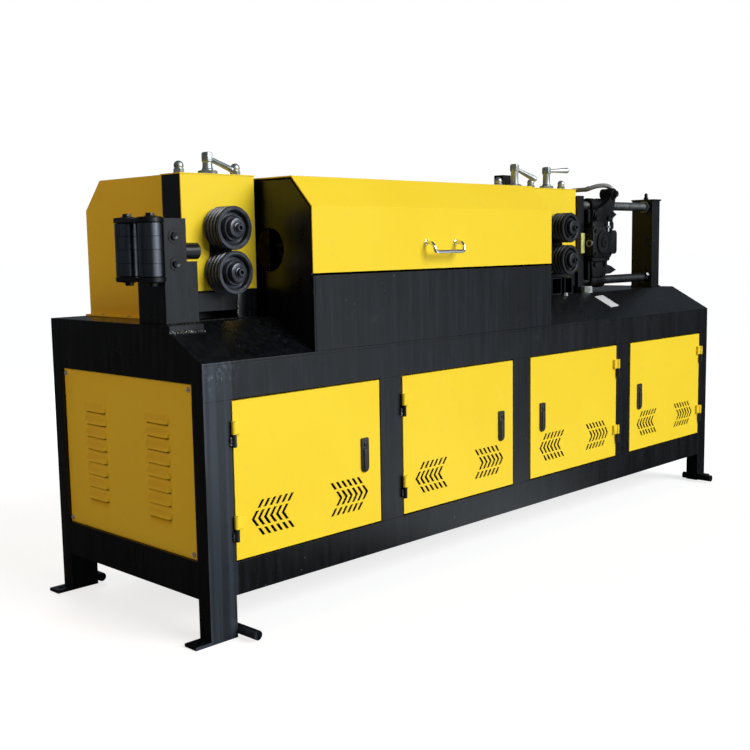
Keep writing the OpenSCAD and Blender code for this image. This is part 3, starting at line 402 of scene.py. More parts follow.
add_finish("roller_steel", turned_steel, {"Metallic": 0.55, "Specular IOR Level": 0.5})
add_finish("rod_steel", ground_steel, bare)
add_finish("bearing_steel", bearing_steel, bare)

# %% [markdown]
# ## Latch plastic, hose and two small plates
# The door latches are moulded in black plastic with a fine spark-eroded grain. The hose has
# a grey cover woven from crossing strands, and its weave follows the hose, so it is drawn
# on the UV map: u goes once around and v along the length in turns of the weave. Two small
# plates, a stained pale gauge strip and a scuffed blank one, need a finish of their own.

# %% Latch plastic, hose cover and plates
def latch_plastic(place, uv):
    """Near black, paler where noise has worn it, over a very fine grain."""
    grain = noise(place, 900.0, 2.0)
    wear = noise(place, 55.0, 4.0).between(0.52, 0.72)
    return {
        "Base Color": mixed(wear, (0.011, 0.011, 0.012), (0.028, 0.028, 0.03)),
        "Roughness": 0.34 + grain * 0.12 + wear * 0.1,
        "Normal": bump(grain, 0.0002, 0.3)}


strands_around = 24.0


def hose_cover(place, uv):
    """Strands are the larger of two zigzags, of around + along and around - along, under grime."""
    around, along = part_of(uv, "X"), part_of(uv, "Y")
    left, right = ((turn * strands_around).zigzag() for turn in (around + along, around - along))
    strands = left.most(right)
    grime = noise(place, 35.0, 5.0).between(0.4, 0.7)
    wire = mixed(strands, (0.2, 0.2, 0.2), (0.62, 0.62, 0.61))
    return {
        "Base Color": mixed(grime * 0.4, wire, (0.14, 0.135, 0.13)),
        "Roughness": 0.42 + grime * 0.2,
        "Normal": bump(strands, 0.0006, 0.7)}


def gauge_plate(place, uv):
    """Pale yellow that noise stains darker."""
    stain = noise(place, 60.0, 5.0).between(0.4, 0.7)
    return {
        "Base Color": mixed(stain, (0.66, 0.66, 0.2), (0.5, 0.48, 0.14)),
        "Roughness": 0.4 + stain * 0.2,
        "Normal": bump(noise(place, 300.0), 0.0002, 0.2)}


def blank_plate(place, uv):
    """Pale grey with scuffs of squeezed noise."""
    scuff = streaky(place, (90.0, 30.0, 30.0), 5.0).between(0.5, 0.75)
    return {
        "Base Color": mixed(scuff, (0.74, 0.75, 0.77), (0.56, 0.56, 0.57)),
        "Roughness": 0.34 + scuff * 0.2,
        "Normal": bump(scuff, 0.0001, 0.3)}


add_finish("latch_plastic", latch_plastic, {"Specular IOR Level": 0.45})
add_finish("hose_rubber", hose_cover, {"Metallic": 0.5})
add_finish("gauge_plate", gauge_plate, {"Specular IOR Level": 0.35})
add_finish("blank_plate", blank_plate, {"Specular IOR Level": 0.45})

# %% [markdown]
# ## Skins and pieces
# Every new piece is a sheet of points: a grid of rows and columns, worked out as one numpy
# array. Cells of the grid become faces, and rows that meet are merged, so a closed profile
# or a pole leaves no seam. Blender's primitives could start some of them, but none is round
# where the real part is round and sharp where it is sharp.

# %% From a grid of points to faces
def skin(points, uv=None, keep=None):
    """A grid of points (rows, columns, 3): each cell of four neighbours is a face, and each point has a
    UV pair. Cells whose keep is false are left open."""
    rows, columns = points.shape[:2]
    i, j = np.meshgrid(np.arange(rows - 1), np.arange(columns - 1), indexing="ij")
    corner = (i * columns + j).ravel()
    faces = np.stack([corner, corner + 1, corner + columns + 1, corner + columns], 1)
    if keep is not None:
        faces = faces[keep.ravel()]
    if uv is None:
        v, u = np.meshgrid(np.linspace(0, 1, rows), np.linspace(0, 1, columns), indexing="ij")
        uv = np.stack([u, v], -1)
    return points.reshape(-1, 3), faces, uv.reshape(-1, 2)


# %% From skins to a piece on a body
import bmesh


def place_piece(thing, stands_for, body):
    """Links a piece into the scene, hides the nodes it stands for and puts it on the body it rides."""
    bpy.context.scene.collection.objects.link(thing)
    if stands_for:
        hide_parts(*stands_for)
    if body:
        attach(thing, body)


def piece(name, skins, body, slot, stands_for=(), crease=35, look=None, closed=True):
    """One mesh of several skins: meeting points merged, faces turned outwards, sharp edges kept hard."""
    starts = np.cumsum([0] + [len(s[0]) for s in skins[:-1]])
    points = np.concatenate([s[0] for s in skins])
    faces = np.concatenate([s[1] + start for s, start in zip(skins, starts)])
    mesh = bpy.data.meshes.new(name)
    mesh.from_pydata(points.tolist(), [], faces.tolist())
    layer = mesh.uv_layers.new(name="skin")
    layer.data.foreach_set("uv", np.concatenate([s[2] for s in skins])[faces.ravel()].ravel())
    work = bmesh.new()
    work.from_mesh(mesh)
    bmesh.ops.remove_doubles(work, verts=work.verts, dist=1e-6)
    if closed:
        bmesh.ops.recalc_face_normals(work, faces=work.faces)
    work.to_mesh(mesh)
    work.free()
    mesh.shade_smooth()
    mesh.set_sharp_from_angle(angle=np.radians(crease))
    mesh.materials.append(finishes[look or slot])
    thing = bpy.data.objects.new(name, mesh)
    place_piece(thing, stands_for, body)
    print("piece:", name, len(mesh.polygons), "faces on", body)
    return thing


# %% [markdown]
# ## Hose to the cutter head
# A pressure hose feeds the cutter's cylinder: it leaves a fitting on top of the sliding head,
# runs back behind the drive and drops into a fitting on the deck. A curve with a bevel could
# draw it, but a tube of our own has a UV map for the weave. Its points are the ones in the
# part's source, joined by smooth cubics, and a round profile is carried along them.

# %% Paths and profiles that are carried along them
def smooth_path(points, steps):
    """A curve through all points: between two of them, a cubic whose slope at each is half the step from
    the point before to the point after."""
    p = np.concatenate([[2 * points[0] - points[1]], points, [2 * points[-1] - points[-2]]])
    t = np.linspace(0, 1, steps, endpoint=False)[:, None, None]
    a, b, c, d = p[:-3], p[1:-2], p[2:-1], p[3:]
    bend, twist = 2 * a - 5 * b + 4 * c - d, 3 * b - a - 3 * c + d
    cubic = b + t * (c - a) / 2 + t ** 2 * bend / 2 + t ** 3 * twist / 2
    return np.concatenate([cubic.transpose(1, 0, 2).reshape(-1, 3), points[-1:]])


def path_length(path):
    """The way walked up to each point of a path: the running sum of its steps."""
    return np.concatenate([[0], np.cumsum(np.linalg.norm(np.diff(path, axis=0), axis=1))])


def carried(path, profile, side, turns=1.0):
    """A closed profile (points across and up) carried along a path: each ring stands square to the path,
    with across along cross(ahead, side)."""
    ahead = np.gradient(path, axis=0)
    ahead /= np.linalg.norm(ahead, axis=1)[:, None]
    across = np.cross(ahead, side)
    across /= np.linalg.norm(across, axis=1)[:, None]
    up = np.cross(across, ahead)
    rings = path[:, None] + profile[None, :, :1] * across[:, None] + profile[None, :, 1:] * up[:, None]
    u = np.broadcast_to(np.linspace(0, 1, len(profile)), rings.shape[:2])
    v = np.broadcast_to(path_length(path)[:, None] * turns, rings.shape[:2])
    return rings, np.stack([u, v], -1)


def capped(rings, uv):
    """The same rings with each end drawn together to its middle, so that a tube is closed."""
    first, last = (np.repeat(ring.mean(0)[None, None], rings.shape[1], 1) for ring in rings[[0, -1]])
    return skin(np.concatenate([first, rings, last]), np.concatenate([uv[:1], uv, uv[-1:]]))


def circle(radius, count=24):
    """Points at equal angles on a circle; the last one closes it on the first."""
    angle = np.linspace(0, 2 * np.pi, count + 1)
    return radius * np.stack([np.cos(angle), np.sin(angle)], 1)


# %% Hose
hose_start, hose_end = np.array([0.756, -0.075, 1.118]), np.array([0.72, 0.165, 0.784])
hose_shares = np.array([
    [0, 0, 0], [0, 0.1, 0], [0.03, 0.21, 0.003], [0.08, 0.32, 0.012], [0.17, 0.43, 0.03],
    [0.28, 0.54, 0.06], [0.42, 0.64, 0.102], [0.56, 0.735, 0.159], [0.7, 0.82, 0.231], [0.81, 0.885, 0.317],
    [0.89, 0.937, 0.413], [0.94, 0.97, 0.515], [0.97, 0.99, 0.62], [1, 1, 0.725], [1, 1, 0.83],
    [1, 1, 0.934], [1, 1, 1]])
hose_radius = 0.008
hose_round, weave_turns = circle(hose_radius), 1 / (2 * np.pi * hose_radius)
hose_path = smooth_path(hose_start + (hose_end - hose_start) * hose_shares, 4)
hose_tube = capped(*carried(hose_path, hose_round, (1, 0, 0), weave_turns))
hose = piece("pressure_hose", [hose_tube], None, "hose_rubber", ["cutter_hose"])
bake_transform(hose)

# %% [markdown]
# ## Plates and rails with rounded edges
# Plates, rails and covers already have their right shape in the frame. The nodes could simply
# be painted, but a sheared plate's edge is never razor sharp, and that narrow bright line is
# what makes steel look like steel. So each one is copied, its triangles are merged back into
# whole faces, and a Bevel rounds every edge by a millimetre or so.

# %% Copies of the nodes with rounded edges
mm = 0.001
slot_of = {row["node"]: row["material_slot"] for row in frame["record"]["subparts"]}
body_of = {node: body for body, nodes in frame["record"]["behaviour"]["bodies"].items() for node in nodes}


def rounded_copy(node, width):
    """The node's own faces, merged, with each edge sharper than 30 degrees rounded to the width."""
    sharp = np.radians(30)
    work = bmesh.new()
    work.from_mesh(frame["nodes"][node].data)
    bmesh.ops.remove_doubles(work, verts=work.verts, dist=1e-5)
    bmesh.ops.dissolve_limit(work, angle_limit=np.radians(1), verts=work.verts, edges=work.edges)
    mesh = bpy.data.meshes.new(node + "_finished")
    work.to_mesh(mesh)
    work.free()
    mesh.shade_smooth()
    mesh.set_sharp_from_angle(angle=sharp)
    mesh.materials.append(finishes[slot_of[node]])
    thing = bpy.data.objects.new(mesh.name, mesh)
    rounding = thing.modifiers.new("rounding", "BEVEL")
    rounding.width, rounding.segments = width, 2
    rounding.limit_method, rounding.angle_limit = "ANGLE", sharp
    rounding.harden_normals = True
    place_piece(thing, [node], body_of[node])


edge_widths = {
    0.8: "legs bottom_rails top_rails door_posts end_plates floor_pan rear_panels hood_hinges "
        "door_1 door_2 door_3 door_4",
    1.0: "guide_bracket hose_fitting",
    1.2: "deck_plate hood_end_plates face_plates",
    1.4: "hood_rear_cover",
    1.5: "guide_rods end_post",
    1.9: "drive_housings",
    2.0: "hood_base straightening_drum drum_bearings hydraulic_block rod_plate",
    2.5: "hood_cover infeed_gearbox outfeed_gearbox"}
for width, nodes in edge_widths.items():
    for node in nodes.split():
        rounded_copy(node, width * mm)
    print("rounded by", width, "mm:", nodes)

# Every node gets its finish too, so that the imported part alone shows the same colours
for node, thing in frame["nodes"].items():
    thing.data.materials.clear()
    thing.data.materials.append(finishes[slot_of[node]])

# %% [markdown]
# ## Feed rollers
# Six hardened rollers pull the bar through, each turned from one blank: grooves around the rim,
# a deep recess in the face, a hub and a socket-head bolt. A stack of cylinders would lose the
# small bevels that catch the light, so one profile carries them all and is turned about the
# axis. The same helper turns every round piece below, and its rings may be hexagons. Profiles
# are in millimetres, as on a turner's drawing, and places are in metres, as in the frame.

# %% Turning helper
def square_to(axis):
    """The axis with length 1, and two directions square to it and to each other."""
    axis = np.array(axis, float) / np.linalg.norm(axis)
    first = np.cross(axis, (0, 0, 1) if abs(axis[2]) < 0.9 else (0, 1, 0))
    first /= np.linalg.norm(first)
    return axis, first, np.cross(axis, first)


def turned(profile, foot, axis=(0, 0, 1), count=48, start=0.0):
    """Rows of (distance, height) turned about an axis through foot. A third number, 1, makes that ring a
    hexagon with its corners at the distance: it shrinks by cos(half a side) / cos(angle from the middle of
    the side)."""
    axis, first, second = square_to(axis)
    rows = np.array([(*row, 0)[:3] for row in profile], float) * (mm, mm, 1)
    angle = np.linspace(0, 2 * np.pi, count + 1)
    half_side = np.pi / 6
    hexagon = np.cos(half_side) / np.cos(angle % (2 * half_side) - half_side)
    distance = rows[:, :1] * (1 + rows[:, 2:] * (hexagon - 1))
    ring = np.cos(angle + start)[:, None] * first + np.sin(angle + start)[:, None] * second
    points = np.array(foot, float) + rows[:, 1:2, None] * axis + distance[..., None] * ring
    u = np.broadcast_to(angle / (2 * np.pi), distance.shape)
    v = np.broadcast_to(path_length(rows[:, :2])[:, None], distance.shape)
    return skin(points, np.stack([u, v], -1))


# %% Six feed rollers
def groove(radius, middle, half_width=5.2, depth=6.8):
    """Seven points across a round-bottomed groove: depth times 1 minus the square of the share across."""
    across = np.linspace(-1, 1, 7)
    return np.stack([radius - depth * (1 - across ** 2), middle + half_width * across], 1).tolist()


def roller_profile(radius):
    """From the back to the front: the shaft, a rim with four grooves, the recess, the hub and the bolt."""
    rows = [(0, -59), (16, -59), (16, 0), (radius - 2, 0), (radius, 2)]
    for middle in (8.2, 21.2, 34.2, 46.5):
        rows += groove(radius, middle)
    rows += [(radius, 53.6), (radius - 1.5, 56), (radius - 8.8, 56), (radius - 11.2, 54.5)]
    recess = [(41.8, 50), (40.2, 42.5), (38.5, 41.5), (33.4, 41.5), (32.8, 54), (31.4, 56.2), (28.8, 56.2)]
    hub = [(27.2, 54.5), (26.2, 54.5), (25.6, 64.5), (23.6, 67.6), (20.5, 68.6), (14.8, 68.6), (14.2, 67.2)]
    bolt = [(12.8, 67.2), (12.4, 69.8), (10.2, 70.5), (9.9, 77.2), (8.8, 78.5), (6.2, 78.5, 1),
        (5.8, 70.8, 1), (0, 70.2)]
    return rows + recess + hub + bolt


roller_back, roller_heights = -0.141, {"lower": 0.867, "upper": 0.977}
infeed_radius, outfeed_radius = 54.3, 51.0
drive_xs = {"infeed_roller": -0.982, "outfeed_roller_1": 0.2955, "outfeed_roller_2": 0.4785}
for stand, x in drive_xs.items():
    profile = roller_profile(infeed_radius if x < 0 else outfeed_radius)
    for level, z in roller_heights.items():
        node = f"{stand}_{level}"
        roller = turned(profile, (x, roller_back, z), (0, -1, 0), count=72)
        piece(node + "_turned", [roller], body_of[node], "roller_steel", [node], crease=28)

# %% [markdown]
# ## Guide rollers
# Two upright rollers lead the bar in sideways. Each is a stack of four plain bearings on one
# axle, so fine joints run around it, and caps and bolt heads close its ends. They could be cut
# from cylinders, but turned profiles keep the bevels. A hex head is a hexagon that ends in a
# round chamfer, which two rings of the turning helper give. The cheeks that hold both axles
# are slabs: flat outlines with one rounded edge.

# %% Guide rollers
guide_x, guide_ys = -1.243, {"near": -0.2165, "far": -0.1215}
guide_low, guide_high = 865.0, 989.5
guide_profile = [(10.1, guide_low), (28.5, guide_low), (30, guide_low + 1.5)]
for line in np.linspace(guide_low, guide_high, 5)[1:-1]:
    guide_profile += [(30, line - 0.6), (29.4, line), (30, line + 0.6)]
guide_profile += [(30, guide_high - 1.5), (28.5, guide_high), (10.1, guide_high), (10.1, guide_low)]
for side, y in guide_ys.items():
    node = "guide_roller_" + side
    piece(node + "_turned", [turned(guide_profile, (guide_x, y, 0))], body_of[node], "roller_steel", [node],
        crease=28, look="bearing_steel")


# %% Hexagon heads and slabs
def hex_head(foot, axis, corner, height, washer=1.3, start=0.0):
    """A washer, and a hexagon whose top edge runs into a circle inside its flats, like a turned chamfer."""
    lift, wide, top = 0.16 * corner, washer * corner, 0.16 * corner + height
    dimple = top - 0.06 * height
    flat = [(0, 0), (wide, 0), (wide, 0.7 * lift), (wide - 0.3 * lift, lift), (0, lift)]
    head = [(0, lift), (corner, lift, 1), (corner, lift + 0.82 * height, 1), (0.85 * corner, top),
        (0.5 * corner, top), (0.42 * corner, dimple), (0, dimple)]
    return [turned(flat, foot, axis, 24, start), turned(head, foot, axis, 24, start)]


def slab(outline, foot, across, up, thickness, edge):
    """An outline about its own middle, raised along cross(across, up): at the top edge a ring at share t of
    a quarter turn is moved in by edge * (1 - cos t) and up by edge * sin t, and both faces close to the
    middle."""
    across, up = np.array(across, float), np.array(up, float)
    away = np.linalg.norm(outline, axis=1).max()
    t = np.linspace(0, np.pi / 2, 4)
    shrink = np.concatenate([[0, 1], 1 - edge / away * (1 - np.cos(t)), [0]])
    height = np.concatenate([[0, 0], thickness - edge + edge * np.sin(t), [thickness]])
    flat = outline[None] * shrink[:, None, None]
    points = np.array(foot, float) + flat[..., :1] * across + flat[..., 1:] * up
    return skin(points + height[:, None, None] * np.cross(across, up))


def arc(middle, radius, start, stop, count=9):
    """Points on a circle from one angle to another, in degrees."""
    angle = np.radians(np.linspace(start, stop, count))
    return np.array(middle) + radius * np.stack([np.cos(angle), np.sin(angle)], 1)


# %% Frame of the guide rollers and inlet tube
near, far = ((guide_x, y) for y in guide_ys.values())
cheek_radius, cheek_thickness, cap_height = 0.0315, 0.0075, 12.5
frame_middle, frame_right, frame_far = np.array([-1.2325, -0.165]), -1.196, -0.09
cheek_outline = np.concatenate([
    arc(far, cheek_radius, 90, 180), arc(near, cheek_radius, 180, 270), arc(near, cheek_radius, 285, 345),
    [(frame_right, -0.198), (frame_right, frame_far), (guide_x, frame_far)]]) - frame_middle
cap = [(0, 0), (30.5, 0), (31.5, 1), (31.5, 9.5), (29.8, 11.5), (21, cap_height), (0, cap_height)]
guide_metal = []
for level, rise in ((guide_high + 1, 1), (guide_low - 1, -1)):
    z, up = level * mm, (0, 0, rise)
    guide_metal.append(slab(cheek_outline * (1, rise), (*frame_middle, z), (1, 0, 0), (0, rise, 0),
        cheek_thickness, 0.0012))
    for y in guide_ys.values():
        guide_metal.append(turned(cap, (guide_x, y, z), up, 40))
        guide_metal += hex_head((guide_x, y, z + rise * cap_height * mm), up, 11.5, 6.5, 1.25)
axle = [(0, guide_low - 2), (10, guide_low - 2), (10, guide_high + 2), (0, guide_high + 2)]
guide_metal += [turned(axle, (guide_x, y, 0), count=24) for y in guide_ys.values()]
piece("guide_roller_frame", guide_metal, "machine", "black_paint", ["guide_frame"], crease=30)

bar_y, bar_z = -0.169, 0.922
tube = [(13, 0), (19.5, 0), (20.5, 1), (20.5, 113.5), (19.2, 115), (14.2, 115), (13, 113.5), (13, 0)]
inlet = turned(tube, (frame_right, bar_y, bar_z), (1, 0, 0))
piece("inlet_tube_turned", [inlet], "machine", "black_paint", ["inlet_tube"], crease=28)

# %% [markdown]
# ## Cranks, nuts and cap nuts
# Each upper feed roller is pressed down by a screw with a cast crank on top, locked by a flat
# hex nut, and acorn nuts hold the drive's cover. Arms and posts could be cones and cylinders,
# but the real ones swell and round off, so they are turned from profiles too: the infeed
# crank's arm is nearly even, and the other two grow thicker towards their round ends.

# %% Cranks
drive_top, crank_y = 1.112, -0.093


def crank(node, x, height, turn, dip, arm):
    """A post turned about z with a hexagonal rim on top, and an arm turned about a line at the turn and dip
    angles."""
    post = [(0, -29), (10.5, -29), (10.5, 11.6), (14.8, 11.6), (14.8, 13.8), (12.8, 17), (12.2, height - 13),
        (13.2, height - 11), (15.2, height - 9.5, 1), (15.2, height + 8.5, 1), (12.8, height + 12.2),
        (8.5, height + 13.8), (0, height + 14.2)]
    turn, dip = np.radians((turn, dip))
    along = (np.cos(dip) * np.cos(turn), np.cos(dip) * np.sin(turn), -np.sin(dip))
    skins = [turned(post, (x, crank_y, drive_top)),
        turned(arm, (x, crank_y, drive_top + height * mm), along, count=32)]
    piece(node + "_cast", skins, body_of[node], "zinc", [node], crease=28)


def round_ended(rows, radius, length, count=7):
    """Profile rows, and then a quarter circle that closes the end at the length."""
    t = np.linspace(0, np.pi / 2, count)
    return rows + np.stack([radius * np.cos(t), length - radius + radius * np.sin(t)], 1).tolist()


straight_arm = round_ended([(0, 0), (6.6, 0), (6.6, 30), (7.2, 55)], 7.8, 74.5)
dipping_arm = round_ended([(0, 0), (6.2, 0), (6.4, 18), (7.8, 42), (9.2, 66)], 9.6, 86)
level_arm = round_ended([(0, 0), (5.8, 0), (6, 20), (7.4, 48), (9, 74)], 9.6, 94)
infeed_x, first_outfeed_x, second_outfeed_x = drive_xs.values()
crank("infeed_crank", infeed_x, 43, -40, 27, straight_arm)
crank("outfeed_crank_1", first_outfeed_x, 65, -40, 28, dipping_arm)
crank("outfeed_crank_2", second_outfeed_x, 62, -20, -2, level_arm)

# %% Lock nuts and acorn nuts
flat_nut = [(10.8, 0), (23.5, 0), (25, 1.2, 1), (25, 8.5, 1), (20.8, 11), (13.8, 11), (10.8, 9.8), (10.8, 0)]
nuts = [turned(flat_nut, (x, crank_y, drive_top), start=0.3) for x in drive_xs.values()]
piece("crank_lock_nuts", nuts, "machine", "zinc", ["crank_nuts"], crease=28)
ball_radius, ball_middle = 12.2, 19.8
dome = np.linspace(-0.45, np.pi / 2, 11)
acorn = [(0, 0), (15.8, 0), (15.8, 1.6), (15.2, 2.2), (13.5, 2.2, 1), (13.5, 10.8, 1), (11.2, 12.8)]
acorn += np.stack([ball_radius * np.cos(dome), ball_middle + ball_radius * np.sin(dome)], 1).tolist()
acorn_xs = (-1.07, -0.894, 0.2075, 0.387, 0.5665)
acorns = [turned(acorn, (x, crank_y, drive_top), start=0.2) for x in acorn_xs]
piece("cover_acorn_nuts", acorns, "machine", "zinc", ["cap_nuts"], crease=28)

# %% [markdown]
# ## Hood handle
# The hood is lifted by a bent rod of bright steel. Its two legs come out of the hood level,
# turn down and run into the grip, with a round bend at each corner. Straight cylinders and
# bits of rings could be joined up, but a round profile carried along one smoothed path gives
# the whole rod, and two collars cover the holes where it enters the sheet.

# %% Handle
handle_x, handle_half, handle_z, front = -0.3644, 0.0629, 0.934, -cabinet_front
grip_radius = 5.2
leg = np.array([
    (0, 0.0012, handle_z), (0, -0.012, handle_z), (0, -0.0215, 0.9318), (0, -0.0275, 0.926),
    (0, -0.031, 0.919), (0.0035, -0.0322, 0.9112), (0.0105, -0.0325, 0.9082), (0.02, -0.0325, 0.908),
    (0.04, -0.0325, 0.908)])
left_half = leg + (handle_x - handle_half, front, 0)
right_half = (leg * (-1, 1, 1) + (handle_x + handle_half, front, 0))[::-1]
grip_path = smooth_path(np.concatenate([left_half, right_half]), 5)
grip = capped(*carried(grip_path, circle(grip_radius * mm, 20), (0, 0.35, 1)))
collar = [(grip_radius, 0), (8.5, 0), (8.5, 1.8), (7.8, 3), (6.2, 3.6), (grip_radius, 3.6), (grip_radius, 0)]
collars = [turned(collar, (handle_x + s * handle_half, front, handle_z), (0, -1, 0)) for s in (-1, 1)]
piece("bent_handle", [grip] + collars, "hood", "chrome", ["hood_handle"])

# %% [markdown]
# ## Door latches
# Each door closes with a black moulded latch: a flat frame, square at the top and round at the
# bottom, and a paddle in it with a small lock above. Beveled cubes could stand in for them, but
# would miss the round end. So frame and paddle are slabs: an outline is carried through a quarter
# circle at its edge and closed to its middle, and the edges come out soft.

# %% Latches
def latch_outline(width, height, corner):
    """Square shoulders with small round corners at the top and a half circle at the bottom."""
    side, shoulder = width / 2 - corner, height / 2 - corner
    return np.concatenate([
        arc((side, shoulder), corner, 0, 90, 5), arc((-side, shoulder), corner, 90, 180, 5),
        arc((0, (width - height) / 2), width / 2, 180, 360, 13), [(width / 2, shoulder)]])


frame_outline, paddle_outline = latch_outline(0.026, 0.092, 0.003), latch_outline(0.0165, 0.06, 0.0025)
lock = [(0, 0), (6.2, 0), (6.2, 2.4), (5.2, 3.2), (4.2, 3.2), (4, 2.2), (0, 2.2)]
across, upright = (1, 0, 0), (0, 0, 1)
for i, x in enumerate((-0.68225, -0.0955, 0.1165, 0.70325), 1):
    node = f"door_latch_{i}"
    skins = [slab(frame_outline, (x, front, 0.378), across, upright, 0.0055, 0.0018),
        slab(paddle_outline, (x, front - 0.005, 0.3665), across, upright, 0.0042, 0.0032),
        turned(lock, (x, front - 0.0053, 0.4085), (0, -1, 0), 24)]
    piece(node + "_moulded", skins, body_of[node], "latch_plastic", [node], crease=40)

# %% [markdown]
# ## Louvred end panels
# The cabinet breathes through louvres: each is a slit whose upper lip is pressed outwards, so
# rain and chips run off. Cutting and bending sheet metal could be imitated with booleans, but a
# height over a grid is simpler: the lip rises from nothing at its top to its full depth at the
# slit, and the cells that would close the slit are left out. Solidify gives the sheet's wall.

# %% End panels
panel_face, sheet_wall = 1.194, 0.0012


def louvred_sheet(side):
    """Grid of y and z at the end of the cabinet. A louvre's height is depth * s * s * (3 - 2s) from its top
    to its slit, times a quarter circle over the last fifth of its half length, so its ends are round. Around
    the sheet a narrow rim bends back by the square of the share left to its edge."""
    half_length, rise, depth, pitch, gap = 0.05, 0.0235, 0.0105, 0.0332, 0.0041
    rim_width, rim_bend, slit_share, steepest = 0.002, 0.0012, 0.93, 0.0015
    columns, slits = np.array([-0.139, 0.139]), 0.279 + pitch * np.arange(8)
    margin_y = [-0.288, -0.2872, -0.285, 0, 0.285, 0.2872, 0.288]
    margin_z = [0.194, 0.1948, 0.197, 0.24, 0.575, 0.613, 0.6152, 0.616]
    length = half_length * np.concatenate([[-1.06, -1.03], np.linspace(-1.01, 1.01, 55), [1.03, 1.06]])
    lip = np.concatenate([[-gap, -0.002, 0, 0.0002], rise * np.linspace(0.06, 1.06, 12)])
    y = np.sort(np.append(columns[:, None] + length, margin_y))
    z = np.sort(np.append(slits[:, None] + lip, margin_z))
    up = (z[:, None, None, None] - slits) / rise
    out = np.abs(y[None, :, None, None] - columns[:, None]) / half_length
    s = np.clip(1 - up, 0, 1) * (up > 1e-4)
    ends = np.sqrt(1 - np.clip((out - 0.8) / 0.2, 0, 1) ** 2)
    height = (depth * s * s * (3 - 2 * s) * ends).max((2, 3))
    rim_y = np.minimum(y - y[0], y[-1] - y)
    rim_z = np.minimum(z - z[0], z[-1] - z)
    edge = np.minimum(rim_z[:, None], rim_y[None])
    height -= rim_bend * np.clip(1 - edge / rim_width, 0, 1) ** 2
    grid = np.stack(np.broadcast_arrays(side * (panel_face + height), y[None], z[:, None]), -1)
    under_lip = (up[:-1] > -1.001 * gap / rise) & (up[:-1] < 1e-4)
    slit = (under_lip & (np.maximum(out[:, :-1], out[:, 1:]) < slit_share)).any((2, 3))
    closed = (np.diff(height, axis=0)[:, :-1] < steepest) & ~slit
    return skin(grid[:, ::side], keep=closed[:, ::side])


panels = piece("louvred_end_panels", [louvred_sheet(-1), louvred_sheet(1)], "machine", "yellow_paint",
    ["end_panels"], crease=50, closed=False)
wall = panels.modifiers.new("wall", "SOLIDIFY")
wall.thickness, wall.offset = sheet_wall, -1


# %% Screws of the panels and of the infeed cover
def cross_screw(foot, axis, radius):
    """A pan head, height 0.5 R (1 - share to the fourth), with a cross cut into it: the cut is deep where a
    point lies near either line of the cross and inside two thirds of the radius."""
    axis, first, second = square_to(axis)
    shares = np.append(np.linspace(0, 1, 13), [1, 0])
    share, angle = np.meshgrid(shares, np.linspace(0, 2 * np.pi, 49), indexing="ij")
    x, y = share * np.cos(angle), share * np.sin(angle)
    arms = np.clip((0.16 - np.minimum(abs(x), abs(y))) / 0.05, 0, 1)
    height = 0.12 + 0.5 * (1 - share ** 4) - 0.42 * arms * np.clip((0.72 - share) / 0.1, 0, 1)
    height[-2:] = -0.1
    head = x[..., None] * first + y[..., None] * second + height[..., None] * axis
    return skin(np.array(foot) + radius * mm * head)


corners = [(y, z) for y in (-0.272, 0.279) for z in (0.207, 0.602)]
screws = [cross_screw((s * panel_face, y, z), (s, 0, 0), 6.8) for s in (-1, 1) for y, z in corners]
screws += [cross_screw((-1.092, y, 0.753), (0, 0, 1), 4.5) for y in (0.0, 0.125, 0.25)]
piece("panel_screws", screws, "machine", "zinc", look="screw_zinc")

# %% [markdown]
# ## Guide bracket: bolts, foot bar and welds
# The guide stands on a plate that is welded to the sloping deck edge, with a flat bar across its
# foot, and a short leg of the infeed drive stands beside it. A weld bead is a row of frozen
# ripples. It could be a bump on the paint, but it stands millimetres proud, so it is a round
# profile carried along the joint, swelling with each ripple and a little at random, with a fixed
# seed. Two beads are bare, and the others were painted over.

# %% Weld beads and bars
chance = np.random.default_rng(7)
square = np.array([(1, 1), (-1, 1), (-1, -1), (1, -1), (1, 1)])


def weld_bead(start, end, radius, side=(0, 0, 1)):
    """Rings along a line: radius * (1 + 0.16 sin(ripple) + a random swell), closed at both ends, half sunk
    in the joint."""
    step, ripple = 0.0012, 0.0034
    start, end = np.array(start, float), np.array(end, float)
    count = max(8, int(np.linalg.norm(end - start) / step))
    t = np.linspace(0, 1, count)[:, None]
    path = start + t * (end - start)
    rings, uv = carried(path, circle(1.0, 10), side)
    swell = 1 + 0.16 * np.sin(t * count * step / ripple * 2 * np.pi) + 0.12 * chance.normal(size=(count, 1))
    swell *= radius * np.sqrt(np.clip(np.minimum(t, 1 - t) * count / 2.5, 0, 1))
    return skin(path[:, None] + (rings - path[:, None]) * swell[:, :, None], uv)


def bar(low, high, edge):
    """A block from one corner to the other: a rectangle made into a slab that rises to the front."""
    low, high = np.array(low, float), np.array(high, float)
    half = (high - low) / 2
    foot = (low + half) * (1, 0, 1) + (0, high[1], 0)
    return slab(square * half[[0, 2]], foot, across, upright, 2 * half[1], edge)


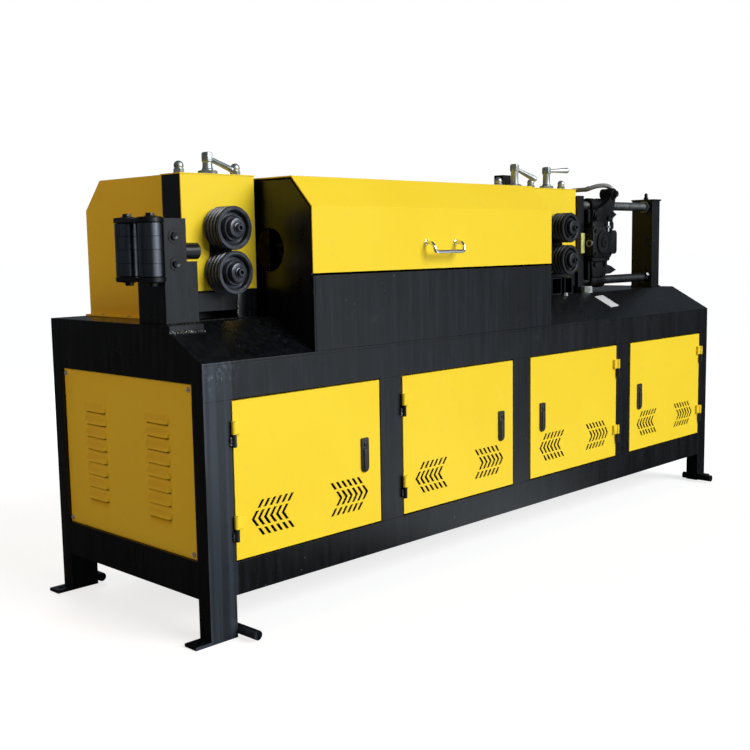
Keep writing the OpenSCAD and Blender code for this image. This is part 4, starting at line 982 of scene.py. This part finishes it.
# %% Bracket
bracket_face = -0.198
bracket_bolts = hex_head((-1.166, bracket_face, 0.958), (0, -1, 0), 10.5, 5.5, 1.62)
bracket_bolts += hex_head((-1.163, bracket_face, 0.893), (0, -1, 0), 10.5, 5.5, 1.62, 0.4)
piece("bracket_bolts", bracket_bolts, "machine", "black_paint", crease=30)
foot_bar = bar((-1.203, -0.2165, 0.726), (-1.1, bracket_face + 0.002, 0.7485), 0.003)
drive_leg = bar((-0.933, -0.1375, 0.747), (-0.898, -0.1, 0.815), 0.0015)
piece("bracket_foot_bar", [foot_bar, drive_leg], "machine", "black_paint")
below_bar = weld_bead((-1.204, -0.2175, 0.7305), (-1.099, -0.2175, 0.7305), 0.0046)
above_bar = weld_bead((-1.196, -0.1988, 0.7492), (-1.101, -0.1988, 0.7492), 0.003)
bracket_side = weld_bead((-1.1965, -0.19, 0.7485), (-1.1965, -0.086, 0.7485), 0.0035)
leg_side = weld_bead((-0.934, -0.1365, 0.75), (-0.934, -0.1365, 0.798), 0.0032, (1, 0, 0))
drive_foot = weld_bead((-1.0965, -0.136, 0.7485), (-0.868, -0.136, 0.7485), 0.003)
piece("bracket_weld_beads", [below_bar, leg_side], "machine", "cast_black", look="weld_bead", crease=60)
piece("painted_weld_beads", [above_bar, bracket_side, drive_foot], "machine", "cast_black", crease=60)

# %% [markdown]
# ## Dark bars between the rollers
# Between the two rollers of each pair a dark strip with a crisp edge shows on the face plate,
# so a thin dark bar stands on the plate there, in the gap between the rollers. The window could be
# cut into the plate, but a thin bar on it looks the same from outside.

# %% Dark bars between the rollers
gap_bar_half, gap_bar_low, gap_bar_high, gap_bar_proud, plate_front = 0.034, 0.886, 0.958, 0.003, -0.135
# A thin dark bar on the face plate in each roller gap gives the dark strip there.
gap_bars = [bar((x - gap_bar_half, plate_front - gap_bar_proud, gap_bar_low),
    (x + gap_bar_half, plate_front + 0.0005, gap_bar_high), 0.001) for x in drive_xs.values()]
piece("roller_gap_bars", gap_bars, "machine", "cast_black")

# %% [markdown]
# ## Door hinges
# Each door hangs on two lift-off hinges: the upper barrel belongs to the door, and the lower one
# carries the pin and is welded to the frame. A hinge with leaves and screws would be simple to
# draw, but here only a turned barrel and a short lumpy weld beside it show, so those are made.

# %% Fixed hinge barrels and their welds
hinge_radius, hinge_half, hinge_y, door_gap = 6, 31, -0.342, 0.004
weld_y, weld_out = -0.3375, 0.0066
barrel = [(0, 0), (5.2, 0), (hinge_radius, 0.8), (hinge_radius, 29.2), (5.3, 30), (3, 30),
    (3, 2 * hinge_half), (0, 2 * hinge_half)]
barrels, barrel_welds, openings = [], [], []
for i, side in enumerate((-1, -1, 1, 1), 1):
    low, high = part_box(f"door_{i}")
    openings.append((low[0] - side * door_gap, high[0] - side * door_gap))
    hinge_x = (low if side < 0 else high)[0] - side * hinge_radius * mm
    weld_x = hinge_x + side * weld_out
    for z in (0.266, 0.494):
        barrels.append(turned(barrel, (hinge_x, hinge_y, z - hinge_half * mm)))
        weld_ends = [(weld_x, weld_y, z - drop) for drop in (0.029, 0.006)]
        barrel_welds.append(weld_bead(*weld_ends, 0.0036, (1, 0, 0)))
piece("door_hinge_barrels", barrels, "machine", "black_paint", ["door_hinges"], crease=30)
piece("door_hinge_welds", barrel_welds, "machine", "cast_black", look="weld_bead", crease=60)

# %% [markdown]
# ## Back of the cabinet
# The four panels at the back are screwed to flat strips inside the frame, which also close the
# narrow gaps beside them. The gaps could simply be filled, but then the panels would no longer
# read as sheets that come off, so the strips are bars and each panel gets four screws.

# %% Strips and screws of the rear panels
panel_low, panel_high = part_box("rear_panels")
strip_width, strip_wall, strip_low, strip_high, overlap = 0.024, 0.002, 0.186, 0.574, 0.001
screw_in = 0.0135
screw_zs = (panel_low[2] + screw_in, panel_high[2] - screw_in)
strips, rear_screws = [], []
for x0, x1 in openings:
    for low_x in (x0 - overlap, x1 + overlap - strip_width):
        strips.append(bar((low_x, panel_low[1] - strip_wall, strip_low),
            (low_x + strip_width, panel_low[1] + 0.0004, strip_high), 0.0005))
    for x in (x0 + screw_in, x1 - screw_in):
        rear_screws += [cross_screw((x, panel_high[1], z), (0, 1, 0), 6.2) for z in screw_zs]
piece("rear_panel_strips", strips, "machine", "black_paint")
piece("rear_panel_screws", rear_screws, "machine", "zinc", look="screw_zinc")

# %% [markdown]
# ## Cutter head
# The shear slides on two rods. Its casting has a deep body with a round cover, a neck to each
# rod clamp, pointed lugs for the trip bars and a curved horn that holds the hose's union. One
# sculpted mesh could follow it all, but a pattern maker builds such a casting from simple bodies
# too, so body, necks, lugs and horn are slabs, clamps, union and cover are turned, and the last
# bit of hose, which slides with the head, is a round profile carried along a path.

# %% Slabs that face the front
def plate_xz(outline, back, thickness, edge):
    """A slab from an outline of x and z, its back at a depth and its rounded face to the front."""
    outline = np.array(outline + outline[:1], float)
    middle = outline[:-1].mean(0)
    return slab(outline - middle, (middle[0], back, middle[1]), across, upright, thickness, edge)


def clipped(x0, x1, z0, z1, cut):
    """A rectangle with its four corners cut off at 45 degrees."""
    return [(x1 - cut, z1), (x0 + cut, z1), (x0, z1 - cut), (x0, z0 + cut), (x0 + cut, z0), (x1 - cut, z0),
        (x1, z0 + cut), (x1, z1 - cut)]


# %% Casting
rod_y, rod_levels = -0.121, (0.787, 1.057)
clamp = [(16.3, 0), (25.2, 0), (27, 2), (27, 30), (25.5, 31.5), (25.5, 60.5), (27, 62), (27, 90), (25.2, 92),
    (16.3, 92), (16.3, 0)]
upper_lug = [(0.852, 1.026), (0.826, 1.038), (0.776, 1.041), (0.776, 1.002), (0.826, 1.012)]
lower_lug = [(0.852, 0.822), (0.815, 0.838), (0.76, 0.85), (0.76, 0.806), (0.815, 0.81)]
union_x, union_z, union_back, union_length = 0.792, 1.099, -0.118, 54.5
horn = [(0.79, 0.995), (0.797, 1.04), (0.807, 1.075)]
horn += arc((union_x, union_z), 0.0185, -5, 175, 13).tolist()
horn += [(0.768, 1.083), (0.756, 1.072), (0.738, 1.061), (0.714, 1.051), (0.69, 1.043), (0.674, 1.03),
    (0.668, 0.995)]
union = [(0, 0), (17, 0), (19.5, 2), (19.5, 16), (16.2, 17.5), (16.2, 21.5), (20.5, 23), (20.5, 50),
    (18.5, 53.5), (12.5, union_length), (0, union_length)]
casting = [turned(clamp, (0.686, rod_y, z), (1, 0, 0)) for z in rod_levels]
casting += [
    plate_xz(clipped(0.642, 0.772, 0.87, 0.982, 0.012), -0.085, 0.094, 0.005),
    plate_xz(clipped(0.65, 0.79, 0.97, 1.0, 0.006), -0.09, 0.082, 0.004),
    plate_xz(clipped(0.65, 0.766, 0.858, 0.88, 0.006), -0.09, 0.082, 0.004),
    plate_xz([(0.785, 1.042), (0.672, 1.042), (0.662, 0.985), (0.785, 0.985)], -0.096, 0.064, 0.006),
    plate_xz([(0.775, 0.868), (0.662, 0.868), (0.674, 0.8), (0.76, 0.8)], -0.096, 0.062, 0.006),
    plate_xz(clipped(0.77, 0.812, 0.882, 0.968, 0.008), -0.094, 0.078, 0.004),
    plate_xz(upper_lug, -0.112, 0.034, 0.004), plate_xz(lower_lug, -0.112, 0.034, 0.004),
    plate_xz(clipped(0.648, 0.659, 0.79, 1.045, 0.003), -0.105, 0.05, 0.002),
    plate_xz(horn, -0.1395, 0.027, 0.005),
    turned(union, (union_x, union_back, union_z), (0, -1, 0))]
casting += hex_head((union_x, union_back - union_length * mm, union_z), (0, -1, 0), 12.5, 8, 1.15)
neck_bolts = ((0.68, -0.1655, 1.012), (0.758, -0.1655, 1.012), (0.684, -0.158, 0.846), (0.75, -0.158, 0.846))
for x, y, z in neck_bolts:
    casting += hex_head((x, y, z), (0, -1, 0), 8.5, 6, 1.3, x)
piece("cutter_casting", casting, "cutter", "cast_black", ["cutter_head"], crease=32)

# %% Cover, bush, stud and the end of the hose
cover_face = -0.1785
dish = [(0, 0), (42, 0), (42, 4), (40.5, 6.2), (33.5, 6.8), (32.2, 4.6), (19, 4), (17.2, 7.2), (15.5, 9),
    (7.8, 9), (7.2, 6.5), (0, 6.5)]
cover = [turned(dish, (0.707, cover_face, bar_z + 0.003), (0, -1, 0), 56)]
for x in (0.6575, 0.7565):
    for z in (bar_z - 0.036, bar_z + 0.044):
        cover += hex_head((x, cover_face, z), (0, -1, 0), 6.2, 4.2, 1.3, x + z)
piece("cutter_round_cover", cover, "cutter", "cast_black", ["cutter_cover"], crease=32)

bush = [(0, -4), (13, -4), (13, 3), (11.5, 4.5), (9.2, 4.5), (8, 3), (8, -3), (0, -3)]
bar_bush = turned(bush, (0.642, bar_y + 0.004, bar_z), (-1, 0, 0), 32)
piece("cutter_bar_bush", [bar_bush], "cutter", "rod_steel", crease=30)
stud_x, stud_y = 0.735, -0.1815
stud = [(0, 0), (4.5, 0), (4.5, 34), (3.8, 35.5), (0, 35.5)]
stud_and_nut = [turned(stud, (stud_x, stud_y, 0.963), count=24)]
stud_and_nut += hex_head((stud_x, stud_y, 0.976), (0, 0, 1), 8.2, 7, 1.2)
piece("cutter_stud", stud_and_nut, "cutter", "zinc", crease=30)

tail_points = np.array([
    (0.756, -0.0765, 1.118), (0.7585, -0.085, 1.121), (0.768, -0.103, 1.1275), (0.781, -0.122, 1.131),
    (0.794, -0.139, 1.129), (0.8025, -0.15, 1.1215), (0.8045, -0.155, 1.111)])
tail = capped(*carried(smooth_path(tail_points, 6), hose_round, (0, 0, 1), weave_turns))
piece("cutter_hose_tail", [tail], "cutter", "hose_rubber")
sleeve = [(7.9, 0), (8.3, 0), (8.6, 0.8), (8.6, 17.2), (8.3, 18), (7.9, 18), (7.9, 0)]
joint = turned(sleeve, (0.7555, -0.0695, 1.1175), tail_points[1] - tail_points[0])
piece("cutter_hose_sleeve", [joint], "cutter", "hose_rubber")

# %% [markdown]
# ## Small parts at the outfeed end
# Around the cutter sit the things that a fitter would notice missing: nuts on the rod ends, bolts
# and a stud in the end post, nuts on the deck, open tube ends that carry the drive, shields and top
# plates on both drives, a strip of pale gauge plate and a blank plate on the sloping edge. Each
# could come ready-made from a fastener library, but all are quickly turned or cut as slabs.

# %% Nuts, bolts and stud
post_face, rod_plate_face = 1.087, 0.634
ring = [(16.2, 0), (24.5, 0, 1), (24.5, 6.2, 1), (21, 8), (16.2, 8), (16.2, 0)]
rod_nuts = []
for z in rod_levels:
    rod_nuts.append(turned(ring, (post_face, rod_y, z), (-1, 0, 0), 24))
    rod_nuts.append(turned(ring, (rod_plate_face, rod_y, z), (1, 0, 0), 24))
# The rod finish paints shade on the lower nuts, as on the lower rod.
piece("rod_end_nuts", rod_nuts, "machine", "rod_steel", crease=30)
post_bolts = []
for z in (0.822, 0.915, 0.938, 1.03):
    post_bolts += hex_head((post_face, -0.137, z), (-1, 0, 0), 6.4, 4.5, 1.35, z)
# The roller finish paints shade on these bolts, as at the outfeed end.
piece("end_post_bolts", post_bolts, "machine", "rod_steel", crease=30, look="roller_steel")
# The rod finish paints shade on this low screw too.
grub_screw = hex_head((1.0815, -0.139, 0.797), (-0.4, -1, 0.5), 6.8, 6, 1.1)
piece("end_post_grub_screw", grub_screw, "machine", "rod_steel", crease=30)
stud_profile = round_ended([(0, 0), (6.2, 0), (6.2, 12)], 6.2, 19.5, 5)
post_stud = turned(stud_profile, (1.1145, -0.112, 1.0915), count=24)
piece("end_post_stud", [post_stud], "machine", "black_paint", crease=30)
deck = 0.748
deck_nuts = hex_head((0.622, -0.1665, deck), (0, 0, 1), 20.5, 18.5, 1.04, 0.25)
deck_nuts += hex_head((0.458, -0.1895, deck - 0.0045), (0, 0, 1), 7.5, 9, 1.3)
piece("deck_nuts", deck_nuts, "machine", "zinc", crease=30, look="screw_zinc")


# %% Tube ends, shields and plates
def tube_end(x0, x1, front_y):
    """A box section along y: the outer rectangle runs forward and the inner one back, with joined rims."""
    top, back, wall, bevel = 0.808, -0.105, 0.005, 0.001
    half, middle = np.array([x1 - x0, top - deck]) / 2, np.array([x0 + x1, deck + top]) / 2
    inner, bevel_y, floor_y = half - wall, front_y + bevel, back - wall
    outside = [(half * 0, back), (half, back), (half, bevel_y), (half - bevel, front_y)]
    inside = [(inner + bevel, front_y), (inner, bevel_y), (inner, floor_y), (half * 0, floor_y)]
    return skin(np.array([np.insert(middle + square * h, 1, y, 1) for h, y in outside + inside]))


tubes = [tube_end(0.386, 0.446, -0.182), tube_end(0.469, 0.517, -0.178)]
piece("drive_tube_ends", tubes, "machine", "black_paint", crease=30)
drive_spans, top_reach, top_half = ((-1.096, -0.868), (0.178, 0.596)), 0.0025, 0.042
shields = [bar((x0, -0.062, deck), (x1, -0.0565, 0.826), 0.001) for x0, x1 in drive_spans]
piece("drive_shields", shields, "machine", "black_paint")
top_y, top_z, top_wall = -0.0945, drive_top - 0.0022, 0.0026
top_plates = [slab(square * ((x1 - x0) / 2 + top_reach, top_half), ((x0 + x1) / 2, top_y, top_z),
    across, (0, 1, 0), top_wall, 0.0006) for x0, x1 in drive_spans]
piece("drive_top_plates", top_plates, "machine", "yellow_paint")
strip = bar((0.6135, -0.1485, 0.887), (0.6365, -0.1445, 0.9585), 0.0012)
piece("gauge_strip", [strip], "machine", "yellow_paint", look="gauge_plate")

slope_run, slope_drop, slope_edge_y = 0.15, 0.082, -0.185
slope_up = np.array([0, slope_run, slope_drop]) / np.hypot(slope_run, slope_drop)
lean = np.radians(-5)
blank_right = np.cos(lean) * np.array(across) - np.sin(lean) * slope_up
blank_up = np.sin(lean) * np.array(across) + np.cos(lean) * slope_up
blank_x, blank_y = 0.6375, -0.2405
on_slope = (blank_x, blank_y, deck - (slope_edge_y - blank_y) * slope_drop / slope_run)
blank_half, blank_corner = np.array([0.027, 0.034]), 0.003
rounded = [arc(blank_half * square[i], blank_corner, 90 * i, 90 * i + 90, 5) for i in range(4)]
blank = np.concatenate(rounded + [rounded[0][:1]])
blank_slab = slab(blank, on_slope, blank_right, blank_up, 0.0012, 0.0005)
piece("blank_plate", [blank_slab], "machine", "zinc", look="blank_plate")

# %% [markdown]
# ## Floor, backdrop and light
# The photograph is a cut-out on white. A white backdrop could be one glowing plane, but the
# floor should keep the machine's shadow, so it is a plain pale plane that glows only to the
# camera, and the world is white to it too. Gloss paint mirrors the room, so in reflections both
# are bright towards the studio's front and dark elsewhere. A wide sun lamp stands at the front
# right, where the photograph's light comes from, with a weak warm lamp at the shaded end and a
# soft one behind, and neither of those two is mirrored.

# %% Floor
def ray(place, kind):
    """1 for rays of that kind and 0 for all others."""
    return place.node("LightPath", {}, {}, out=f"Is {kind} Ray")


studio_front, front_reach = (0.25, -0.97, 0.0), (0.68, 1.0)
floor_glow, cool = 0.75, (0.76, 0.885, 1.0)


def towards_front(direction):
    """1 for directions close to the studio's front and 0 for those far from it."""
    return vector(direction, "DOT_PRODUCT", studio_front, "Value").between(*front_reach)


def floor_paper(place, uv):
    """Pale to light; it glows to the camera, and to reflections towards the studio's front."""
    seen, mirrored = ray(place, "Camera").most(ray(place, "Transmission")), ray(place, "Glossy")
    lit = towards_front(place.node("VectorMath", {"operation": "NORMALIZE"}, {0: place}))
    pale = mixed(noise(place, 1.5), (0.44, 0.44, 0.44), (0.46, 0.46, 0.46))
    reflected = mixed(mirrored * lit, (0, 0, 0), [floor_glow * share for share in cool])
    return {
        "Base Color": mixed(mirrored * (1 - lit), pale, (0.05, 0.05, 0.05)),
        "Emission Color": mixed(seen, reflected, (floor_glow, floor_glow, floor_glow))}


add_finish("floor_paper", floor_paper,
    {"Roughness": 0.9, "Specular IOR Level": 0.0, "Emission Strength": 1.0})
floor_half, floor_drop = 60.0, -0.0005
floor_mesh = bpy.data.meshes.new("floor")
# From the near left corner to the near right one and on round, so that the face looks up
floor_corners = np.insert(-square[:4] * floor_half, 2, floor_drop, 1)
floor_mesh.from_pydata(floor_corners.tolist(), [], [(0, 1, 2, 3)])
floor_mesh.materials.append(finishes["floor_paper"])
floor = bpy.data.objects.new("floor", floor_mesh)
bpy.context.scene.collection.objects.link(floor)
floor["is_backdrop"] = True

# %% Backdrop
ambient, back_sheen = 0.13, 0.05
world = bpy.data.worlds.new("studio")
bpy.context.scene.world = world
world.use_nodes = True
sky = world.node_tree
direction = Wire(sky.nodes.new("ShaderNodeTexCoord").outputs["Generated"])
seen, mirrored = ray(direction, "Camera").most(ray(direction, "Transmission")), ray(direction, "Glossy")
sheen = back_sheen + towards_front(direction) * (1 - back_sheen)
strength = seen.most(mirrored * sheen).most(ambient)
background = sky.nodes["Background"]
sky.links.new(strength.socket, background.inputs["Strength"])
sky.links.new(mixed(seen, cool, (1, 1, 1)).socket, background.inputs["Color"])
print("backdrop:", len(sky.nodes), "nodes")


# %% Lamps
def lamp(name, kind, place, aim, settings):
    """A light of a kind at a place, turned so that its beam points at the aim."""
    light = bpy.data.lights.new(name, kind)
    for setting, value in settings.items():
        setattr(light, setting, value)
    thing = bpy.data.objects.new(name, light)
    thing.location = place
    thing.rotation_euler = (Vector(aim) - Vector(place)).to_track_quat("-Z", "Y").to_euler()
    bpy.context.scene.collection.objects.link(thing)
    print("lamp:", name, light.energy)
    return thing


middle, infeed_end, warm = (0, 0, 0.5), (-1.2, 0, 0.5), (1.0, 0.47, 0.18)
lamp("key", "SUN", (1.3, -3.9, 2.5), middle, {"energy": 3.14, "angle": np.radians(40)})
warm_fill = lamp("warm_fill", "AREA", (-4.0, 0.3, 2.1), infeed_end,
    {"energy": 20.4, "size": 1.6, "color": warm})
rear_fill = lamp("rear_fill", "AREA", (1.2, 4.2, 2.6), middle, {"energy": 125.0, "size": 3.0})
warm_fill.visible_glossy = rear_fill.visible_glossy = False
bpy.context.scene.view_settings.view_transform = "Standard"

# %% [markdown]
# ## Size
# The box of every shown piece, floor left out, is measured from the dressed scene and printed.
# The dressed part has to stay in the imported part's box, but for a few millimetres.

# %% Size of the dressed part
import json

low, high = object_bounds()
print("visual box:", [round(v, 3) for v in (*low, *high)])
